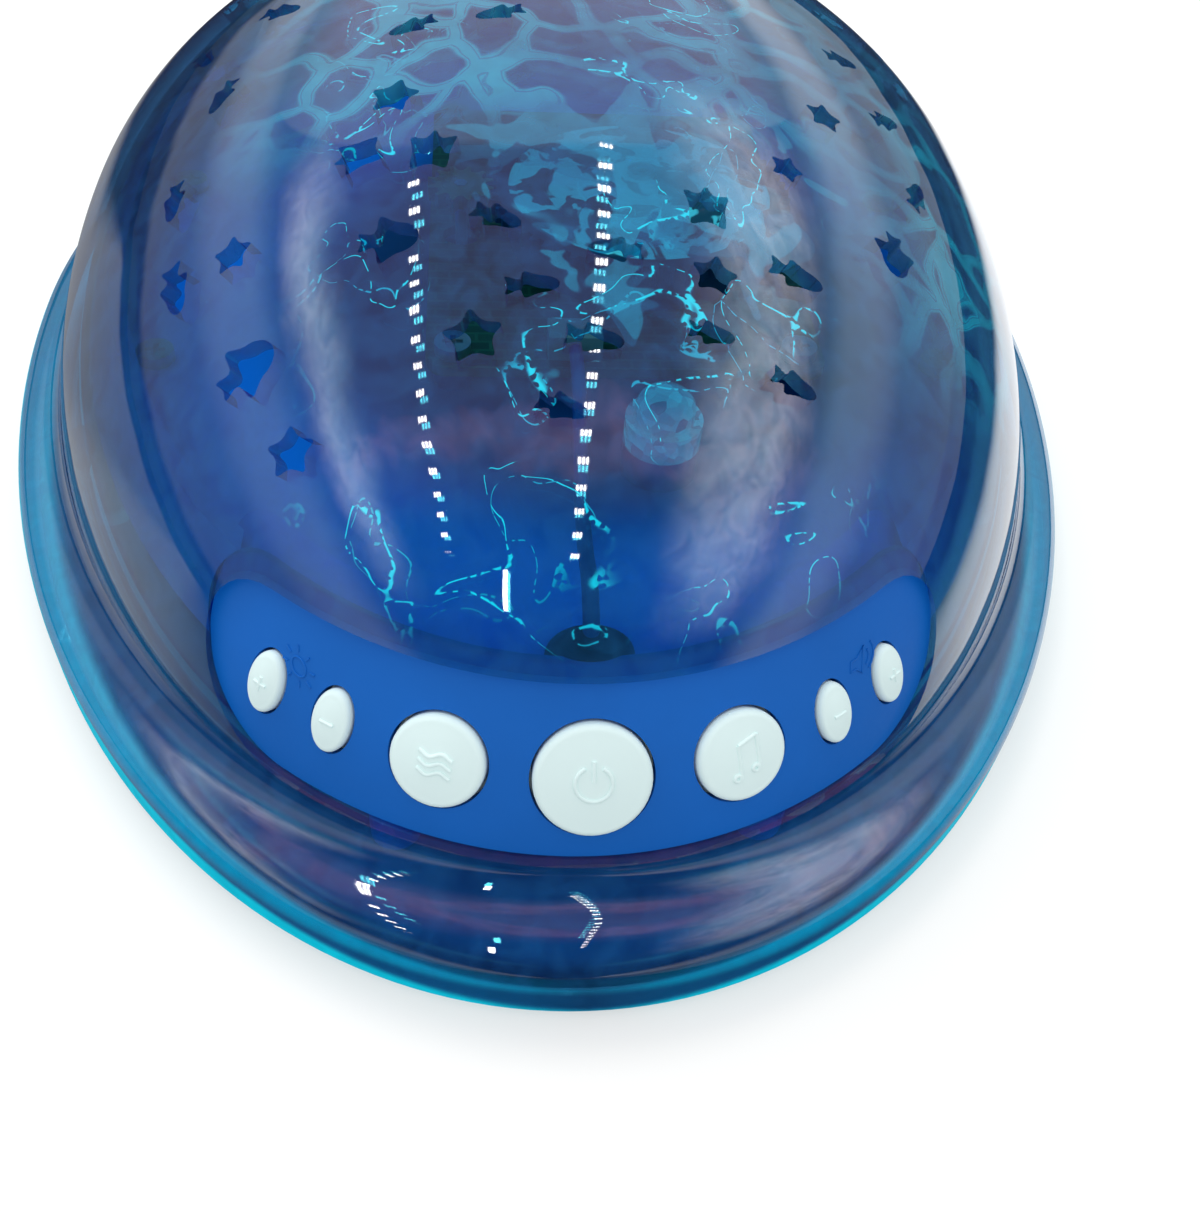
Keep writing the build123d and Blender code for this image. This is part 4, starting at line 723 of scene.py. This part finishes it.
sun = [circle(0, 0, 0.00085)] + [
    [(r * math.cos(math.radians(a)), r * math.sin(math.radians(a))) for r in (0.0013, 0.0019)]
    for a in range(0, 360, 45)
]
sun_mark = relief("brightness_mark", sun, panel_spot(-MARK_SIDE, MARK_LEVEL), MARK_WIDTH, panel_blue)
sound = [
    [(-0.0016, -0.0005), (-0.0008, -0.0005), (0.0001, -0.0013), (0.0001, 0.0013), (-0.0008, 0.0005),
     (-0.0016, 0.0005), (-0.0016, -0.0005)],
    arc(0.0001, 0, 0.0009, -50, 50, 9),
    arc(0.0001, 0, 0.0016, -50, 50, 11),
]
sound_mark = relief("volume_mark", sound, panel_spot(MARK_SIDE, MARK_LEVEL), MARK_WIDTH, panel_blue)
for mark in (sun_mark, sound_mark):
    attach(mark, "housing")

# Keys. Seven soft caps in off-white silicone-like plastic, domed and rounded at the edge, each with a
# foot behind the panel, a stem over its switch and a raised mark.
key_white = moulded("key_white", (0.8, 0.97, 0.96), 0.5, grain=1300, uneven=0.02, shine=0.3)
PANEL_WALL, KEY_TOP, KEY_CROWN, KEY_EDGE, KEY_LIP, KEY_FOOT = 0.0022, 0.0012, 0.0007, 0.0009, 0.0008, 0.0008
KEY_STEM, KEY_ROOM, KEY_TRAVEL, KEY_GAP = 0.0016, 0.0062, 0.0008, 0.00035
CURVE = dome_reach(0)[0] ** 2 / dome_reach(0)[1]


def key_frame(x):
    """Middle of a key on the panel's face, with the ways across it, up it and out of it."""
    place, way = dome_front(x, PANEL_LEVEL, PANEL_INSET)
    across_key = Vector((0, 0, 1)).cross(way).normalized()
    return place, across_key, way.cross(across_key), way


def key_cap(name, x, width, height):
    """A key from the top of its crown down to the end of its stem, and the radius of its crown."""
    place, x_way, y_way, way = key_frame(x)
    half_height = height / 2
    foot = -(PANEL_WALL + (width / 2 + KEY_LIP) ** 2 / (2 * CURVE) + KEY_GAP)
    stem = KEY_ROOM - KEY_TRAVEL - KEY_GAP + foot - KEY_FOOT
    crown = (half_height**2 + KEY_CROWN**2) / (2 * KEY_CROWN)
    profile = [(0.0002, KEY_TOP)]
    for r in np.linspace(0.2, 1, 9)[:-1] * (half_height - KEY_EDGE):
        profile.append((r, KEY_TOP - (crown - math.sqrt(crown**2 - r**2))))
    edge_level = KEY_TOP - (crown - math.sqrt(crown**2 - (half_height - KEY_EDGE) ** 2))
    for a in np.linspace(0, math.pi / 2, 9):
        r, drop = half_height - KEY_EDGE * (1 - math.sin(a)), KEY_EDGE * (1 - math.cos(a)) * 0.9
        profile.append((r, edge_level - drop))
    levels = []
    for r, z in profile + [(half_height, foot)]:
        levels.append((max(r - (height - width) / 2 * r / half_height, 0.0001), r, z))
    lip = (width / 2 + KEY_LIP, half_height + KEY_LIP)
    levels += [(*lip, foot), (*lip, foot - KEY_FOOT)]
    levels += [(KEY_STEM, KEY_STEM, foot - KEY_FOOT), (KEY_STEM, KEY_STEM, foot - KEY_FOOT - stem)]
    rings = [
        [
            place + x_way * wide * math.cos(a) + y_way * tall * math.sin(a) + way * z
            for a in np.linspace(0, math.tau, 49)[:-1]
        ]
        for wide, tall, z in levels
    ]
    return turned(rings, name + "_cap", key_white), crown


def on_key(x, crown):
    """Places on a key's crown round its middle."""
    place, x_way, y_way, way = key_frame(x)

    def spot(u, v):
        drop = crown - math.sqrt(crown**2 - u * u - v * v)
        return place + x_way * u + y_way * v + way * (KEY_TOP - drop), way
    return spot


# The raised marks, as strokes round a key's middle.
power = [arc(0, 0, 0.0021, 118, 422, 40), [(0, 0.0003), (0, 0.0015), (0, 0.0027)]]
waves = [
    [(u, level + 0.0003 * math.sin(u / 0.00046)) for u in np.linspace(-0.002, 0.002, 34)]
    for level in (0.0011, 0, -0.0011)
]
note = [
    [(-0.0008, -0.0022), (-0.0008, 0.0018)], [(0.0016, -0.0015), (0.0016, 0.0026)],
    [(-0.0008, 0.0018), (0.0016, 0.0026)],
    circle(-0.0013, -0.0022, 0.0004, 12), circle(0.0011, -0.0015, 0.0004, 12),
]
plus = [[(-0.0009, 0), (0.0009, 0)], [(0, -0.0009), (0, 0.0009)]]
minus = [[(-0.0009, 0), (0.0009, 0)]]
for name, x, width, height, strokes in (
    ("power", 0, 0.0136, 0.0136, power), ("wave", -0.0173, 0.0112, 0.0112, waves),
    ("music", 0.0173, 0.0112, 0.0112, note), ("brighter", -0.0372, 0.005, 0.008, plus),
    ("dimmer", -0.0293, 0.005, 0.008, minus), ("quieter", 0.0293, 0.005, 0.008, minus),
    ("louder", 0.0372, 0.005, 0.008, plus),
):
    cap, crown = key_cap(name, x, width, height)
    stroke_width = 0.0005 if width > 0.006 else 0.0004
    mark = relief(name + "_mark", strokes, on_key(x, crown), stroke_width, key_white)
    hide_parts(name + "_button")
    for piece in (cap, mark):
        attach(piece, name + "_key")

# Frame, base, door, tray and tail. Solid mid-blue mouldings: the frame behind the panel, the plate that
# closes the foot, the door over the cells, the tray under the boards and the two-fluked tail. The frame
# and tray take a lightened blue as painted light, and the base, door and tail a darkened blue as painted shade.
# The frame and tray take a lightened copy of the blue, as painted light inside the dome.
dress(moulded("housing_blue", (0.003, 0.19, 0.9), 0.45, grain=1100, depth=0.00003, shine=0.3), "panel_frame")
# The tray's colour is darkened over its middle, as painted shade under the boards.
tray_blue = moulded("tray_blue", (0.003, 0.22, 0.86), 0.45, depth=0.00003, shine=0.3, dark_middle=True)
dress(tray_blue, "inner_tray")
# The base plate, door and tail take a darkened copy of the blue, as painted shade.
base_blue = moulded("base_blue", (0.003, 0.1, 0.42), 0.45, grain=1100, depth=0.00003, shine=0.3)
dress(base_blue, "base_plate", "battery_door", "tail")

# Rubber. Four dark feet let into the base, the grommet in the frame's top with a round boot over it,
# where the keys' cable comes out, and the cable's own jacket.
rubber = moulded("dark_rubber", (0.012, 0.012, 0.03), 0.5, grain=2200, depth=0.00004)
dress(rubber, "rubber_feet", "cable_grommet")
dress(moulded("cable_jacket", (0.004, 0.06, 0.26), 0.45, grain=1800), "key_cable")
BOOT_SIDE, BOOT_DEEP, BOOT_TALL, BOOT_SINK = 0.0052, 0.0032, 0.0036, 0.001
grommet_low, grommet_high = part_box("cable_grommet")
boot_y, boot_foot = (grommet_low[1] + grommet_high[1]) / 2, grommet_high[2] - BOOT_SINK
boot_rings = []
for lift in np.linspace(0, 1.5, 18):
    out, level = math.cos(lift) ** 0.7, boot_foot + BOOT_TALL * math.sin(lift)
    boot_rings.append([
        Vector((BOOT_SIDE * out * math.cos(a), boot_y + BOOT_DEEP * out * math.sin(a), level))
        for a in np.linspace(0, math.tau, 49)[:-1]
    ])
boot = turned(boot_rings, "grommet_boot", rubber)
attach(boot, "housing")

# Boards. Dark green laminate with covered tracks. One stands on four posts under the light parts, one is
# curved behind the keys and held by the frame, and the main one is screwed to the base.
board_green = bpy.data.materials.new("board_green")
add, maths, times, ramp, fade = tree_of(board_green)
place = add("ShaderNodeTexCoord").outputs["Object"]
tracks = add("ShaderNodeTexBrick", {"Vector": place}, Scale=120, Mortar_Size=0.03)
tracks.inputs["Color1"].default_value = (0.006, 0.04, 0.03, 1)
tracks.inputs["Color2"].default_value = (0.009, 0.055, 0.038, 1)
tracks.inputs["Mortar"].default_value = (0.016, 0.09, 0.06, 1)
fine = add("ShaderNodeTexNoise", {"Vector": place}, Scale=1500, Detail=2.0)
bump = add("ShaderNodeBump", {"Height": tracks.outputs["Fac"]}, Strength=0.4, Distance=0.00003)
plain = add(
    "ShaderNodeBsdfPrincipled",
    {"Base Color": tracks.outputs["Color"], "Normal": bump.outputs[0],
     "Roughness": maths("MULTIPLY_ADD", fine.outputs["Fac"], 0.15, 0.3)},
)
add("ShaderNodeOutputMaterial", {"Surface": plain.outputs[0]})
dress(board_green, "light_board", "main_board", "key_board")

# Small parts. Black moulded chips, pale sockets with the cable's plug, metal capacitors and a pale lamp
# chip sit on the boards. The motor's can and the speaker's magnet are bare metal too.
dress(moulded("black_plastic", (0.02, 0.02, 0.022), 0.45), "board_chips")
dress(moulded("pale_plastic", (0.22, 0.23, 0.24), 0.45), "board_sockets", "cable_plug", "star_lamp")
dress(moulded("brushed_can", (0.55, 0.56, 0.58), 0.3, metal=1.0), "board_capacitors", "wave_motor", "speaker_magnet")

# Screws, pins and contacts. Zinc-plated steel for the screws, pins and the speaker's basket, bent nickel
# strip for the cells' contacts, and a brass pinion pressed on the motor's shaft. Then the paper cone and
# the three cells in their dark sleeves.
zinc = moulded("zinc_steel", (0.6, 0.61, 0.64), 0.32, grain=2600, metal=1.0)
dress(
    zinc, "door_screw", "shell_screws", "frame_screws", "tray_screws", "light_board_screws", "motor_screws",
    "speaker_screws", "main_board_screws", "tail_screw", "tail_washer", "disc_pin", "pin_clip", "motor_shaft",
    "speaker_basket",
)
dress(moulded("nickel_strip", (0.72, 0.7, 0.66), 0.22, metal=1.0), "battery_contacts")
dress(moulded("brass", (0.62, 0.45, 0.2), 0.3, metal=1.0), "drive_pinion")
dress(moulded("speaker_paper", (0.03, 0.03, 0.034), 0.8, grain=700, depth=0.00008), "speaker_cone")
dress(moulded("cell_sleeve", (0.02, 0.022, 0.028), 0.28, coat=0.4), "batteries")

# Light parts. A dark cup round four lamps, a rippled disc that turns over them in its toothed ring, and
# a separate round lens in its holder nearer the keys.
dress(moulded("dark_cup", (0.01, 0.05, 0.12), 0.4), "light_cup", "disc_gear")


def bright_clear(name, dark, light, bump_strength, bump_depth, rough, own_light):
    """A clear light part with painted light in it, a painted glow and painted glints: its tree, still open,
    and the way to finish it with a pattern of painted glints on dark and the height of its surface."""
    made = bpy.data.materials.new(name)
    add, maths, times, ramp, fade = tree_of(made)
    place = add("ShaderNodeTexCoord").outputs["Object"]

    def finish(share, height):
        shade = add("ShaderNodeMix", {"Factor": share}, {"data_type": "RGBA"})
        shade.inputs["A"].default_value = dark
        shade.inputs["B"].default_value = light
        bump = add("ShaderNodeBump", {"Height": height}, Strength=bump_strength, Distance=bump_depth)
        caught = shade.outputs["Result"]
        plain = add(
            "ShaderNodeBsdfPrincipled", {"Base Color": caught, "Normal": bump.outputs[0], "Emission Color": caught},
            Roughness=rough, IOR=1.5, Emission_Strength=own_light,
        )
        add("ShaderNodeOutputMaterial", {"Surface": plain.outputs[0]})
        return made

    return add, ramp, place, finish


# The rippled disc carries painted cyan glints along its ripples and a painted glow.
add, ramp, place, finish = bright_clear(
    "rippled_clear", (0.01, 0.06, 0.1, 1), (0.08, 0.62, 0.72, 1), 0.7, 0.0012, 0.12, 0.35
)
ripples = add("ShaderNodeTexNoise", {"Vector": place}, Scale=130, Detail=2.5, Distortion=1.2).outputs["Fac"]
dress(finish(ramp(ripples, 0.47, 0.52), ripples), "wave_disc")
# The lens and its holder carry painted bright facets and a painted cyan glow.
add, ramp, place, finish = bright_clear(
    "faceted_clear", (0.003, 0.13, 0.24, 1), (0.06, 0.75, 0.85, 1), 0.8, 0.0006, 0.1, 0.22
)
facets = add("ShaderNodeTexVoronoi", {"Vector": place}, Scale=620).outputs
dress(finish(facets["Color"], facets["Distance"]), "star_lens", "lens_holder")
dress(moulded("lamp_resin", (0.5, 0.75, 0.82), 0.12, coat=0.5), "wave_lamps")

size = {"cad": cad_box, "visual": [list(corner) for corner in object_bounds()]}
